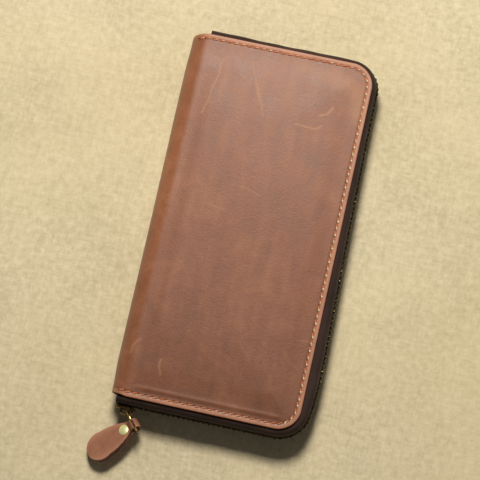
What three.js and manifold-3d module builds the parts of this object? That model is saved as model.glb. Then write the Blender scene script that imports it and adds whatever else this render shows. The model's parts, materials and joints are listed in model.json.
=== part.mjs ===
// Zip-around long wallet in waxed leather: a front and a back cover joined by a narrow spine, a zip
// round the other three sides, card pockets inside both covers and a zipped coin leaf in the middle.
// Millimetres, +Z up. The closed wallet lies on its back cover. The origin is the middle of the back
// cover's flat outer face, +X runs from the spine to the opening side, +Y away from the zip slider.
import * as THREE from 'three';
import { mergeVertices } from 'three/addons/utils/BufferGeometryUtils.js';
import Module from 'manifold-3d';

const wasm = await Module();
wasm.setup();

// ---- Driving dimensions ----
const LENGTH = 194; // covers, along Y
const HALF_WIDTH = 49; // spine's outermost line and the covers' opening edge, either side of X = 0
const THICKNESS = 25; // over both covers
const CORNER_R = 12; // the covers' two corners at the opening side
const GAP = 0.3; // between pieces that touch on the real wallet
const MIDDLE_Z = THICKNESS / 2;

// Outer leather
const LEATHER_T = 1.6;
const SPINE_LINING_T = 0.6;
const SPINE_CURVE = 9; // how far in from the spine the covers begin to curve down
const HINGE_X = -46; // line where a cover ends and the spine begins
const SPINE_END_IN = 1.7; // the spine is this much shorter than the covers at each end
const CUT = GAP / 2;

// Layers inside each cover, as depths under the cover's outer face
const TAPE_T = 0.5;
const TAPE_DEPTH = LEATHER_T + GAP;
const LINING_T = 0.9;
const LINING_DEPTH = TAPE_DEPTH + TAPE_T + GAP;
const POCKET_T = 0.5;
const POCKET_DEPTH = LINING_DEPTH + LINING_T + GAP;
const LINING_INSET = 1.5;
const INSIDE_X = -40.3; // where the flat inner layers end, short of the spine

// Card pockets: three rows in two columns on each cover
const POCKET_ROWS = 3;
const POCKET_FOOT_X = -38;
const FIRST_MOUTH_X = 6;
const ROW_STEP = 13;
const COLUMN_WIDTH = 90;
const COLUMN_SPACE = 4;
const POCKET_CORNER_R = 2;

// Outer zip. Offsets are measured outwards from the covers' edge.
const CHAIN_OFFSET = 3; // middle of the teeth
const CHAIN_T = 2.2;
const TAPE_INSET = 6.5; // how far the tape reaches in under the cover
const TOOTH_PITCH = 2.65;
const TOOTH_LENGTH = 1.0;
const RAIL_NEAR = 1.3; // teeth rail, measured from the wallet's middle plane
const RAIL_FAR = 2.5;
const TOOTH_TIP = -0.9; // past the middle plane, between the other row's teeth
const TAPE_END = 2.8; // the tape's lower edge, measured from the middle plane
const TAPE_BEND_START = -0.8; // where the tape begins to bend, as an offset
// the bend, as [offset as a share of CHAIN_OFFSET, drop as a share of the tape's whole drop]
const TAPE_BEND = [[0.45, 0.08], [0.85, 0.3], [1, 0.6], [1, 1]];
const ZIP_FOOT_X = -45; // the tape's end beside the slider
const ZIP_HEAD_X = -39; // the tape's other end
const STOP_LENGTH = 1.6;
const BOTTOM_STOP_LENGTH = 3;

// Outer slider, closed at the spine end of the bottom side
const SLIDER_X = -40;
const SLIDER_LENGTH = 10;
const SLIDER_WIDE = 9.4;
const SLIDER_NARROW = 7.4;
const SLIDER_PLATE_T = 1.1;
const SLIDER_INSIDE = 3; // between its plates
const SLIDER_SLOT = 2; // left for the tape between its rims
const SLIDER_RIM = 1.0;
const SLIDER_BLUNT = 1.2; // cut from the plates' corners
const SLIDER_MOUTH = 2; // straight entry at the end that parts the teeth
const POST_INSET = 0.3;
const POST_LENGTH = 4.2;
const POST_HALF = 0.8;
const CROWN_ALONG = 0.8; // its middle, from the slider's middle
const CROWN_LENGTH = 6.4;
const CROWN_HEIGHT = 3.3;
const CROWN_WALL = 0.8;
const CROWN_WIDTH = 1.7;
const CROWN_R = 1.6;

// Pull ring and leather tab
const RING_R = 5.4; // to the wire's middle
const WIRE_R = 0.65;
const RING_PIVOT = new THREE.Vector3(-38.2, -103.82, MIDDLE_Z);
const TAB_HEADING = 219; // degrees from +X, the way the tab points
const TAB_ROLL = 25; // one edge of the tab is raised by this angle
const TAB_SLOPE = 13; // the tab slopes down to the surface that the wallet lies on
const TAB_LAYER = 1.75;
const TAB_SEAM = 0.2;
const FOLD_HOLE_R = 1.4;
const FOLD_R = 2.7;
const FOLD_TAPER = 3.2;
const FOLD_RISE = 0.42; // the fold's pivot above the ring's lowest point
const TAB_HEAD_S = 20.6; // middle of the round end, from the fold's pivot
const TAB_HEAD_R = 8.0;
const TAB_HEAD_JOIN = 104; // degrees round the head's circle where its sides begin
const TAB_NECK_HALF = 2.9;
// half widths of the tab's sides at distances from the fold's pivot
const TAB_SIDES = [[1.5, 2.9], [3.5, 3.7], [6, 4.8], [9.5, 6.1], [14, 7.2]];
const RIVET_S = 5.6;
const RIVET_HEAD_R = 2.9;
const RIVET_POST_R = 1.2;
const RIVET_HEAD_T = 0.8;
const RIVET_CAP_T = 0.6;

// Coin leaf, sewn to the spine and standing between the covers
const LEAF_PANEL_T = 0.7;
const LEAF_HALF_T = 1.6;
const LEAF_ROOT_X = -42.5;
const LEAF_EDGE_X = 40;
const LEAF_LENGTH = 180;
const LEAF_CORNER_R = 5;
const COIN_ZIP_X = 31.1;
const COIN_PANEL_EDGE = 4.6; // from the coin zip's middle to each front panel
const COIN_TAPE_T = 0.35;
const COIN_TAPE_REACH = 7;
const COIN_COIL_WIDTH = 1.3;
const COIN_COIL_T = 1.5;
const COIN_ZIP_LENGTH = 172;
const COIN_SLIDER_Y = 74;
const COIN_SLIDER_LENGTH = 8;
const COIN_SLIDER_WIDTH = 6.6;
const COIN_PULL_LENGTH = 15;
const COIN_PULL_WIDTH = 4;
const COIN_PULL_T = 0.8;
const COIN_PULL_HEAD = 1; // from the pull's pivot to its upper end
const COIN_WINDOW = { halfWidth: 1.25, low: -2.2, high: 0.3 };
const COIN_PLATE_T = 0.4;
const COIN_OUTER_PLATE_T = 0.6;
const COIN_PLATE_GAP = 0.2; // from the outer plate to the leaf's front panel
const COIN_POST_HALF = 0.8;
const COIN_POST_LENGTH = 2;
const COIN_CROWN_HALF = 2.6;
const COIN_CROWN_WIDTH = 1.8;
const COIN_CROWN_WALL = 0.6;
const COIN_CROWN_HEIGHT = 1.8;
const COIN_PIVOT_Y = COIN_SLIDER_Y - 1;

// ---- Colours and finishes ----
const material = (color, roughness, metalness = 0) =>
  new THREE.MeshStandardMaterial({ color, roughness, metalness });
const FINISH = {
  leather: () => material(0x8b563d, 0.6),
  innerLeather: () => material(0x7a4a34, 0.7),
  lining: () => material(0x4a372c, 0.85),
  board: () => material(0x8f8a7c, 0.9),
  tape: () => material(0x2a1d1b, 0.9),
  teeth: () => material(0x5d4f2f, 0.4, 1),
  brass: () => material(0xa8894c, 0.3, 1),
  rivet: () => material(0xe2d9a0, 0.25, 1),
};

// ---- Solids ----
const WELD = 1e-4; // points nearer than this are one
const SPINE_SEGMENTS = 20;
const toRadians = THREE.MathUtils.degToRad;
const object = new THREE.Group();

function addMesh(name, geometry, finish, parent = object) {
  const mesh = new THREE.Mesh(geometry, finish());
  mesh.name = name;
  parent.add(mesh);
  return mesh;
}

// The same geometry with one vertex at each point
function welded(geometry) {
  const bare = geometry.clone();
  bare.deleteAttribute('normal');
  bare.deleteAttribute('uv');
  return mergeVertices(bare, WELD);
}

function toManifold(geometry) {
  const merged = welded(geometry);
  const vertProperties = new Float32Array(merged.attributes.position.array);
  const triVerts = new Uint32Array(merged.index.array);
  return new wasm.Manifold(new wasm.Mesh({ numProp: 3, vertProperties, triVerts }));
}

function toGeometry(manifold) {
  const mesh = manifold.getMesh();
  const geometry = new THREE.BufferGeometry();
  geometry.setAttribute('position', new THREE.BufferAttribute(mesh.vertProperties, 3));
  geometry.setIndex(new THREE.BufferAttribute(mesh.triVerts, 1));
  geometry.computeVertexNormals();
  return geometry;
}

function signedVolume(geometry) {
  const corner = [new THREE.Vector3(), new THREE.Vector3(), new THREE.Vector3()];
  let volume = 0;
  for (let i = 0; i < geometry.index.count; i += 3) {
    corner.forEach((v, k) => {
      v.fromBufferAttribute(geometry.attributes.position, geometry.index.getX(i + k));
    });
    volume += corner[0].dot(corner[1].clone().cross(corner[2])) / 6;
  }
  return volume;
}

// A closed geometry from four-cornered and three-cornered faces, turned so that its faces point out
function closedGeometry(faces) {
  const halves = (f) => [f[0], f[1], f[2], f[0], f[2], f[3]];
  const triangles = faces.flatMap((f) => (f.length === 4 ? halves(f) : f));
  const flat = new THREE.BufferGeometry().setFromPoints(triangles);
  const geometry = mergeVertices(flat, WELD);
  if (signedVolume(geometry) < 0) {
    geometry.index.array.reverse();
  }
  geometry.computeVertexNormals();
  return geometry;
}

function extrude(shape, depth, curveSegments = 8) {
  return new THREE.ExtrudeGeometry(shape, { depth, bevelEnabled: false, curveSegments });
}

// An outline in X and Y, filled between two heights
function plate(shape, low, high, curveSegments = 8) {
  return extrude(shape, high - low, curveSegments).translate(0, 0, low);
}

// An outline in X and Z, filled along Y and centred on the given Y
function barAlongY(shape, length, y = 0, curveSegments = 8) {
  const bar = extrude(shape, length, curveSegments).rotateX(Math.PI / 2);
  return bar.translate(0, y + length / 2, 0);
}

function rectangle(x0, x1, y0, y1) {
  return new THREE.Shape([
    new THREE.Vector2(x0, y0),
    new THREE.Vector2(x1, y0),
    new THREE.Vector2(x1, y1),
    new THREE.Vector2(x0, y1),
  ]);
}

function box(x0, x1, y0, y1, z0, z1) {
  return plate(rectangle(x0, x1, y0, y1), z0, z1);
}

function span(middle, half) {
  return [middle - half, middle + half];
}

// A rectangle whose two corners at the high X side are rounded
function openSideRounded(x0, x1, halfLength, radius) {
  const shape = new THREE.Shape();
  shape.moveTo(x0, -halfLength);
  shape.lineTo(x1 - radius, -halfLength);
  shape.absarc(x1 - radius, -halfLength + radius, radius, -Math.PI / 2, 0);
  shape.absarc(x1 - radius, halfLength - radius, radius, 0, Math.PI / 2);
  shape.lineTo(x0, halfLength);
  return shape;
}

// ---- Outer leather ----
// The closed wallet's section: flat covers that run into a half-ellipse at the spine
function sectionOutline(inset) {
  const shape = new THREE.Shape();
  const flatEnd = -HALF_WIDTH + SPINE_CURVE;
  shape.moveTo(HALF_WIDTH + CORNER_R, inset);
  shape.lineTo(HALF_WIDTH + CORNER_R, THICKNESS - inset);
  shape.lineTo(flatEnd, THICKNESS - inset);
  shape.absellipse(
    flatEnd, MIDDLE_Z, SPINE_CURVE - inset, MIDDLE_Z - inset, Math.PI / 2, (3 * Math.PI) / 2, false, 0,
  );
  return shape;
}

// The leather's outline from above: the spine's ends draw in slightly
function leatherOutline() {
  const half = LENGTH / 2;
  const flatEnd = -HALF_WIDTH + SPINE_CURVE;
  const shape = new THREE.Shape();
  shape.moveTo(-HALF_WIDTH - 1, -half + SPINE_END_IN);
  shape.lineTo(flatEnd, -half);
  shape.lineTo(HALF_WIDTH - CORNER_R, -half);
  shape.absarc(HALF_WIDTH - CORNER_R, -half + CORNER_R, CORNER_R, -Math.PI / 2, 0);
  shape.absarc(HALF_WIDTH - CORNER_R, half - CORNER_R, CORNER_R, 0, Math.PI / 2);
  shape.lineTo(flatEnd, half);
  shape.lineTo(-HALF_WIDTH - 1, half - SPINE_END_IN);
  return shape;
}

function leatherShell(outerInset, thickness, halfLength) {
  const bar = (inset, length) => toManifold(barAlongY(sectionOutline(inset), length, 0, SPINE_SEGMENTS));
  return bar(outerInset, 2 * halfLength).subtract(bar(outerInset + thickness, 2 * halfLength + 2));
}

function slab(x0, x1, z0, z1) {
  return toManifold(plate(rectangle(x0, x1, -LENGTH, LENGTH), z0, z1));
}

function addOuterLeather() {
  const reach = 2 * HALF_WIDTH;
  const shell = leatherShell(0, LEATHER_T, LENGTH / 2).intersect(
    toManifold(plate(leatherOutline(), -1, THICKNESS + 1, 6)),
  );
  const back = shell.intersect(slab(HINGE_X + CUT, reach, -1, MIDDLE_Z));
  const front = shell.intersect(slab(HINGE_X + CUT, reach, MIDDLE_Z, THICKNESS + 1));
  const spine = shell.intersect(slab(-reach, HINGE_X - CUT, -1, THICKNESS + 1));
  addMesh('back_cover_leather', toGeometry(back), FINISH.leather);
  addMesh('front_cover_leather', toGeometry(front), FINISH.leather);
  addMesh('spine_leather', toGeometry(spine), FINISH.leather);
}

function addSpineLining() {
  const shell = leatherShell(LEATHER_T + GAP, SPINE_LINING_T, LENGTH / 2 - 3 * SPINE_END_IN);
  const strip = shell.intersect(slab(-2 * HALF_WIDTH, HINGE_X + CUT, 0, THICKNESS));
  addMesh('spine_lining', toGeometry(strip), FINISH.lining);
}

// ---- Layers inside the covers ----
// Heights of a layer that lies at a depth under one cover's outer face
function layer(side, depth, thickness) {
  const inner = depth + thickness;
  return side === 'back' ? [depth, inner] : [THICKNESS - inner, THICKNESS - depth];
}

function addLining(side) {
  const inset = LINING_INSET;
  const shape = openSideRounded(INSIDE_X, HALF_WIDTH - inset, LENGTH / 2 - inset, CORNER_R - inset);
  const heights = layer(side, LINING_DEPTH, LINING_T);
  addMesh(`${side}_lining`, plate(shape, ...heights, 5), FINISH.lining);
}

function addStiffener(side) {
  const inset = TAPE_INSET + GAP;
  const shape = openSideRounded(INSIDE_X, HALF_WIDTH - inset, LENGTH / 2 - inset, CORNER_R - inset);
  const heights = layer(side, TAPE_DEPTH, TAPE_T);
  addMesh(`${side}_stiffener`, plate(shape, ...heights, 5), FINISH.board);
}

// A row nearer the spine lies on top of the row behind it
function addCardPocket(side, column, row) {
  const depth = POCKET_DEPTH + (POCKET_ROWS - row) * (POCKET_T + GAP);
  const mouth = FIRST_MOUTH_X + (row - 1) * ROW_STEP;
  const shape = openSideRounded(POCKET_FOOT_X, mouth, COLUMN_WIDTH / 2, POCKET_CORNER_R);
  const middle = (column === 'lower' ? -1 : 1) * (COLUMN_WIDTH + COLUMN_SPACE) / 2;
  const pocket = plate(shape, ...layer(side, depth, POCKET_T), 3).translate(0, middle, 0);
  addMesh(`${side}_card_pocket_${column}_${row}`, pocket, FINISH.innerLeather);
}

// ---- Outer zip ----
// The zip's way round three sides, along the covers' edge: up the bottom side, round the corner, along
// the opening side and back along the top. Each point has the outward direction with it.
const EDGE_START_X = HALF_WIDTH - CORNER_R;
const EDGE_HALF_Y = LENGTH / 2;

function cornerPoint(side, angle) {
  const middle = new THREE.Vector2(EDGE_START_X, side * (EDGE_HALF_Y - CORNER_R));
  const out = new THREE.Vector2(Math.cos(angle), Math.sin(angle));
  return { at: middle.addScaledVector(out, CORNER_R), out };
}

function straightPoint(x, y, outX, outY) {
  return { at: new THREE.Vector2(x, y), out: new THREE.Vector2(outX, outY) };
}

function edgeStations(cornerSteps) {
  const stations = [straightPoint(ZIP_FOOT_X, -EDGE_HALF_Y, 0, -1)];
  for (const side of [-1, 1]) {
    const first = side < 0 ? -Math.PI / 2 : 0;
    for (let i = 0; i <= cornerSteps; i++) {
      stations.push(cornerPoint(side, first + ((Math.PI / 2) * i) / cornerSteps));
    }
  }
  stations.push(straightPoint(ZIP_HEAD_X, EDGE_HALF_Y, 0, 1));
  return stations;
}

// The point at a distance along the teeth, measured from X = startX on the bottom side
function chainPoint(distance, startX) {
  const arc = (CORNER_R + CHAIN_OFFSET) * (Math.PI / 2);
  const bottom = EDGE_START_X - startX;
  const side = LENGTH - 2 * CORNER_R;
  if (distance < bottom) {
    return straightPoint(startX + distance, -EDGE_HALF_Y, 0, -1);
  }
  if (distance < bottom + arc) {
    return cornerPoint(-1, -Math.PI / 2 + ((Math.PI / 2) * (distance - bottom)) / arc);
  }
  const onSide = distance - bottom - arc;
  if (onSide < side) {
    return straightPoint(HALF_WIDTH, -EDGE_HALF_Y + CORNER_R + onSide, 1, 0);
  }
  if (onSide < side + arc) {
    return cornerPoint(1, ((Math.PI / 2) * (onSide - side)) / arc);
  }
  return straightPoint(EDGE_START_X - (onSide - side - arc), EDGE_HALF_Y, 0, 1);
}

function place(station, offset, z) {
  const p = station.at.clone().addScaledVector(station.out, offset);
  return new THREE.Vector3(p.x, p.y, z);
}

// A closed section of (offset, height) points carried along the stations
function sweep(outline, stations) {
  const section = THREE.ShapeUtils.isClockWise(outline) ? [...outline].reverse() : outline;
  const rings = stations.map((s) => section.map((p) => place(s, p.x, p.y)));
  const faces = [];
  for (let i = 0; i + 1 < rings.length; i++) {
    section.forEach((_, k) => {
      const next = (k + 1) % section.length;
      faces.push([rings[i][k], rings[i][next], rings[i + 1][next], rings[i + 1][k]]);
    });
  }
  const last = rings[rings.length - 1];
  for (const [a, b, c] of THREE.ShapeUtils.triangulateShape(section, [])) {
    faces.push([rings[0][c], rings[0][b], rings[0][a]], [last[a], last[b], last[c]]);
  }
  return closedGeometry(faces);
}

// A strip of even thickness whose middle follows the given points
function stripSection(points, thickness) {
  const sides = [[], []];
  points.forEach((p, i) => {
    const before = points[Math.max(i - 1, 0)];
    const after = points[Math.min(i + 1, points.length - 1)];
    const along = after.clone().sub(before).normalize();
    const across = new THREE.Vector2(-along.y, along.x);
    sides[0].push(p.clone().addScaledVector(across, thickness / 2));
    sides[1].push(p.clone().addScaledVector(across, -thickness / 2));
  });
  return [...sides[0], ...sides[1].reverse()];
}

// Each tape half is sewn in under its cover and bends round to the teeth at the middle plane
function addZipTape(side) {
  const mirror = (height) => (side === 'front' ? MIDDLE_Z + height : MIDDLE_Z - height);
  const flat = MIDDLE_Z - TAPE_DEPTH - TAPE_T / 2;
  const bend = flat - TAPE_END;
  const middle = [
    new THREE.Vector2(-TAPE_INSET, mirror(flat)),
    new THREE.Vector2(TAPE_BEND_START, mirror(flat)),
    ...TAPE_BEND.map(([out, drop]) => new THREE.Vector2(CHAIN_OFFSET * out, mirror(flat - bend * drop))),
  ];
  const tape = toManifold(sweep(stripSection(middle, TAPE_T), edgeStations(5)));
  // beside the slider only the part outside the covers goes on towards the spine
  const tuckedEnd = toManifold(box(-HALF_WIDTH, INSIDE_X, -EDGE_HALF_Y - GAP, 0, 0, THICKNESS));
  addMesh(`${side}_zip_tape`, toGeometry(tape.subtract(tuckedEnd)), FINISH.tape);
}

// A six-sided block between two stations, without the faces named in open
function blockFaces(a, b, near, far, z0, z1, open = []) {
  const corner = (station, offset, z) => place(station, offset, z);
  const sides = {
    outer: [corner(b, far, z0), corner(a, far, z0), corner(a, far, z1), corner(b, far, z1)],
    inner: [corner(a, near, z0), corner(b, near, z0), corner(b, near, z1), corner(a, near, z1)],
    high: [corner(a, near, z1), corner(b, near, z1), corner(b, far, z1), corner(a, far, z1)],
    low: [corner(a, near, z0), corner(a, far, z0), corner(b, far, z0), corner(b, near, z0)],
    start: [corner(a, far, z0), corner(a, near, z0), corner(a, near, z1), corner(a, far, z1)],
    end: [corner(b, near, z0), corner(b, far, z0), corner(b, far, z1), corner(b, near, z1)],
  };
  return Object.keys(sides).filter((name) => !open.includes(name)).map((name) => sides[name]);
}

// One row of teeth: a rail along the tape with a tooth at every pitch. The other row's teeth stand
// half a pitch further on, so the two rows interlock across the middle plane.
function addZipTeeth(side) {
  const up = side === 'front' ? 1 : -1;
  const startX = SLIDER_X + SLIDER_LENGTH / 2 + GAP;
  const arc = (CORNER_R + CHAIN_OFFSET) * (Math.PI / 2);
  const endX = ZIP_HEAD_X + BOTTOM_STOP_LENGTH + 2 * GAP;
  const reach = 2 * EDGE_START_X - startX - endX + 2 * arc + LENGTH - 2 * CORNER_R;
  const first = side === 'front' ? GAP : GAP + TOOTH_PITCH / 2;
  const near = CHAIN_OFFSET - CHAIN_T / 2;
  const far = CHAIN_OFFSET + CHAIN_T / 2;
  const height = (h) => MIDDLE_Z + up * h;
  const marks = [0];
  for (let s = first; s + TOOTH_LENGTH < reach - GAP; s += TOOTH_PITCH) {
    marks.push(s, s + TOOTH_LENGTH);
  }
  marks.push(reach);
  const stations = marks.map((s) => chainPoint(s, startX));
  const faces = [];
  for (let i = 0; i + 1 < stations.length; i++) {
    const tooth = i % 2 === 1;
    const open = [];
    if (i > 0) {
      open.push('start');
    }
    if (i + 2 < stations.length) {
      open.push('end');
    }
    if (tooth) {
      open.push('low');
    }
    const cell = [stations[i], stations[i + 1], near, far];
    faces.push(...blockFaces(...cell, height(RAIL_NEAR), height(RAIL_FAR), open));
    if (tooth) {
      faces.push(...blockFaces(...cell, height(TOOTH_TIP), height(RAIL_NEAR), ['high']));
    }
  }
  addMesh(`${side}_zip_teeth`, closedGeometry(faces), FINISH.teeth);
}

// The small clamps on the two tape ends beside the slider
function addTopStop(side) {
  const half = SLIDER_SLOT / 2 - GAP;
  const y = -EDGE_HALF_Y - CHAIN_OFFSET;
  const heights = [RAIL_NEAR, RAIL_FAR].map((h) => (side === 'front' ? MIDDLE_Z + h : MIDDLE_Z - h));
  heights.sort((a, b) => a - b);
  const x = SLIDER_X - SLIDER_LENGTH / 2 + GAP;
  const stop = box(x, x + STOP_LENGTH, y - half, y + half, ...heights);
  addMesh(`${side}_top_stop`, stop, FINISH.teeth);
}

// The box clamp that joins both rows of teeth at the zip's far end
function addBottomStop() {
  const y = EDGE_HALF_Y + CHAIN_OFFSET;
  const half = CHAIN_T / 2;
  const x = ZIP_HEAD_X + GAP;
  const heights = [MIDDLE_Z - RAIL_FAR, MIDDLE_Z + RAIL_FAR];
  const stop = box(x, x + BOTTOM_STOP_LENGTH, y - half, y + half, ...heights);
  addMesh('zip_bottom_stop', stop, FINISH.teeth);
}

// ---- Outer slider ----
// A plate outline in X and Z, wide at the end that parts the teeth
function sliderOutline(inset = 0) {
  const half = SLIDER_LENGTH / 2;
  const wide = SLIDER_WIDE / 2 - inset;
  const narrow = SLIDER_NARROW / 2 - inset;
  const blunt = SLIDER_BLUNT;
  const shape = new THREE.Shape();
  shape.moveTo(-half + blunt, -wide);
  shape.lineTo(half - blunt, -narrow);
  shape.lineTo(half, -narrow + blunt);
  shape.lineTo(half, narrow - blunt);
  shape.lineTo(half - blunt, narrow);
  shape.lineTo(-half + blunt, wide);
  shape.lineTo(-half, wide - blunt);
  shape.lineTo(-half, -wide + blunt);
  return shape;
}

// Solids of the slider are made round its own middle, then moved to the closed end of the zip
function sliderBody() {
  const reach = SLIDER_INSIDE / 2 + SLIDER_PLATE_T;
  const whole = toManifold(barAlongY(sliderOutline(), 2 * reach));
  const channel = toManifold(barAlongY(sliderOutline(SLIDER_RIM), SLIDER_INSIDE));
  const ends = toManifold(
    box(-SLIDER_LENGTH, SLIDER_LENGTH, -SLIDER_INSIDE / 2, SLIDER_INSIDE / 2,
      -SLIDER_NARROW / 2 + SLIDER_RIM, SLIDER_NARROW / 2 - SLIDER_RIM),
  );
  const mouth = toManifold(
    box(-SLIDER_LENGTH, -SLIDER_LENGTH / 2 + SLIDER_MOUTH, -SLIDER_INSIDE / 2, SLIDER_INSIDE / 2,
      -SLIDER_WIDE / 2 + SLIDER_RIM, SLIDER_WIDE / 2 - SLIDER_RIM),
  );
  const slot = toManifold(
    box(-SLIDER_LENGTH, SLIDER_LENGTH, -SLIDER_SLOT / 2, SLIDER_SLOT / 2, -SLIDER_WIDE, SLIDER_WIDE),
  );
  const hollow = channel.add(ends).add(mouth).add(slot);
  return whole.subtract(hollow);
}

// The wedge between the two mouths, which parts the teeth and holds the plates together
function sliderPost() {
  const x = POST_INSET - SLIDER_LENGTH / 2;
  const shape = new THREE.Shape();
  shape.moveTo(x, -POST_HALF);
  shape.lineTo(x + POST_LENGTH, 0);
  shape.lineTo(x, POST_HALF);
  return toManifold(barAlongY(shape, SLIDER_INSIDE + SLIDER_PLATE_T));
}

function roundedArch(halfLength, height, radius) {
  const shape = new THREE.Shape();
  shape.moveTo(-halfLength, -SLIDER_PLATE_T / 2);
  shape.lineTo(halfLength, -SLIDER_PLATE_T / 2);
  shape.absarc(halfLength - radius, height - radius, radius, 0, Math.PI / 2);
  shape.absarc(-halfLength + radius, height - radius, radius, Math.PI / 2, Math.PI);
  return shape;
}

// The arch on the slider's outer plate that holds the ring
function sliderCrown() {
  const wide = 2 * CROWN_WIDTH;
  const outer = extrude(roundedArch(CROWN_LENGTH / 2, CROWN_HEIGHT, CROWN_R), CROWN_WIDTH, 6);
  const innerHalf = CROWN_LENGTH / 2 - CROWN_WALL;
  const holeShape = roundedArch(innerHalf, CROWN_HEIGHT - CROWN_WALL, CROWN_R - CROWN_WALL / 2);
  const hole = extrude(holeShape, wide, 6).translate(0, 0, -(wide - CROWN_WIDTH) / 2);
  const away = SLIDER_INSIDE / 2 + SLIDER_PLATE_T;
  const above = toManifold(box(-SLIDER_LENGTH, SLIDER_LENGTH, 0, SLIDER_LENGTH, -wide, 2 * wide));
  const arch = toManifold(outer).subtract(toManifold(hole).intersect(above));
  const upright = arch.translate([0, 0, -CROWN_WIDTH / 2]).rotate([180, 0, 0]);
  return upright.translate([CROWN_ALONG, -away, 0]);
}

function addSlider() {
  const slider = toGeometry(sliderBody().add(sliderPost()).add(sliderCrown()));
  const mesh = addMesh('zip_slider', slider, FINISH.teeth);
  mesh.position.set(SLIDER_X, -EDGE_HALF_Y - CHAIN_OFFSET, MIDDLE_Z);
}

// ---- Pull ring, tab and rivet ----
// The ring's frame: X from the crown to the ring's middle, Z the ring's axis
function ringFrame() {
  const heading = toRadians(TAB_HEADING);
  const away = new THREE.Vector3(Math.cos(heading), Math.sin(heading), 0);
  const level = new THREE.Vector3(-Math.sin(heading), Math.cos(heading), 0);
  const upright = new THREE.Vector3(0, 0, 1);
  const cos = Math.cos(toRadians(TAB_ROLL));
  const sin = Math.sin(toRadians(TAB_ROLL));
  const across = level.clone().multiplyScalar(cos).addScaledVector(upright, sin);
  const down = level.clone().multiplyScalar(sin).addScaledVector(upright, -cos);
  return { away, across, down };
}

function addRing() {
  const { away, across, down } = ringFrame();
  const ring = new THREE.TorusGeometry(RING_R, WIRE_R, 8, 30);
  const middle = RING_PIVOT.clone().addScaledVector(across, RING_R);
  const turn = new THREE.Matrix4().makeBasis(across, down, across.clone().cross(down));
  const geometry = welded(ring).applyMatrix4(turn).translate(middle.x, middle.y, middle.z);
  addMesh('pull_ring', geometry, FINISH.brass);
  const foldPivot = middle.clone().addScaledVector(down, RING_R - FOLD_RISE);
  return { foldPivot, away, across, down };
}

// The tab's outline: X along the tab from the fold's pivot, Y across it
function tabOutline() {
  const join = toRadians(TAB_HEAD_JOIN);
  const upper = new THREE.SplineCurve([
    new THREE.Vector2(-FOLD_R - 1, TAB_NECK_HALF),
    ...TAB_SIDES.map(([along, half]) => new THREE.Vector2(along, half)),
    new THREE.Vector2(TAB_HEAD_S + TAB_HEAD_R * Math.cos(join), TAB_HEAD_R * Math.sin(join)),
  ]).getPoints(12);
  const head = new THREE.EllipseCurve(
    TAB_HEAD_S, 0, TAB_HEAD_R, TAB_HEAD_R, join, -join, true, 0,
  ).getPoints(16);
  const lower = upper.map((p) => new THREE.Vector2(p.x, -p.y)).reverse();
  return new THREE.Shape([...upper, ...head.slice(1, -1), ...lower]);
}

// The strip's side view: folded round the ring's wire, with its two layers lying together
function tabFold() {
  const end = TAB_HEAD_S + TAB_HEAD_R + 1;
  const half = TAB_LAYER + TAB_SEAM / 2;
  const seam = TAB_SEAM / 2;
  const shape = new THREE.Shape();
  shape.moveTo(end, half);
  shape.lineTo(FOLD_TAPER, half);
  shape.absarc(0, 0, FOLD_R, Math.PI / 2, (3 * Math.PI) / 2);
  shape.lineTo(FOLD_TAPER, -half);
  shape.lineTo(end, -half);
  shape.lineTo(end, -seam);
  shape.lineTo(FOLD_TAPER, -seam);
  shape.absarc(0, 0, FOLD_HOLE_R, -Math.PI / 3, Math.PI / 3, true);
  shape.lineTo(FOLD_TAPER, seam);
  shape.lineTo(end, seam);
  return shape;
}

function addTab({ foldPivot, away, across, down }) {
  const slope = toRadians(TAB_SLOPE);
  const along = away.clone().multiplyScalar(Math.cos(slope)).addScaledVector(down, Math.sin(slope));
  const upward = along.clone().cross(across).normalize();
  const group = new THREE.Group();
  group.applyMatrix4(new THREE.Matrix4().makeBasis(along, across, upward));
  group.position.copy(foldPivot);
  object.add(group);

  const wide = 2 * TAB_HEAD_R + 2;
  const folded = toManifold(barAlongY(tabFold(), wide, 0, 10));
  const outline = toManifold(plate(tabOutline(), -2 * FOLD_R, 2 * FOLD_R));
  const hole = new THREE.CylinderGeometry(RIVET_POST_R + GAP, RIVET_POST_R + GAP, 4 * FOLD_R, 16);
  hole.rotateX(Math.PI / 2).translate(RIVET_S, 0, 0);
  const tab = folded.intersect(outline).subtract(toManifold(hole));
  addMesh('pull_tab', toGeometry(tab), FINISH.leather, group);
  addMesh('tab_rivet', rivetGeometry(), FINISH.rivet, group);
}

// Domed head above, flat cap below and the post between them
function rivetGeometry() {
  const half = TAB_LAYER + TAB_SEAM / 2 + GAP;
  const profile = [
    new THREE.Vector2(0, -half - RIVET_CAP_T),
    new THREE.Vector2(RIVET_HEAD_R * 0.85, -half - RIVET_CAP_T),
    new THREE.Vector2(RIVET_HEAD_R, -half),
    new THREE.Vector2(RIVET_POST_R, -half),
    new THREE.Vector2(RIVET_POST_R, half),
    new THREE.Vector2(RIVET_HEAD_R, half),
    new THREE.Vector2(RIVET_HEAD_R * 0.8, half + RIVET_HEAD_T * 0.7),
    new THREE.Vector2(0, half + RIVET_HEAD_T),
  ];
  const rivet = new THREE.LatheGeometry(profile, 20).rotateX(Math.PI / 2).translate(RIVET_S, 0, 0);
  return toGeometry(toManifold(rivet));
}

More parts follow.
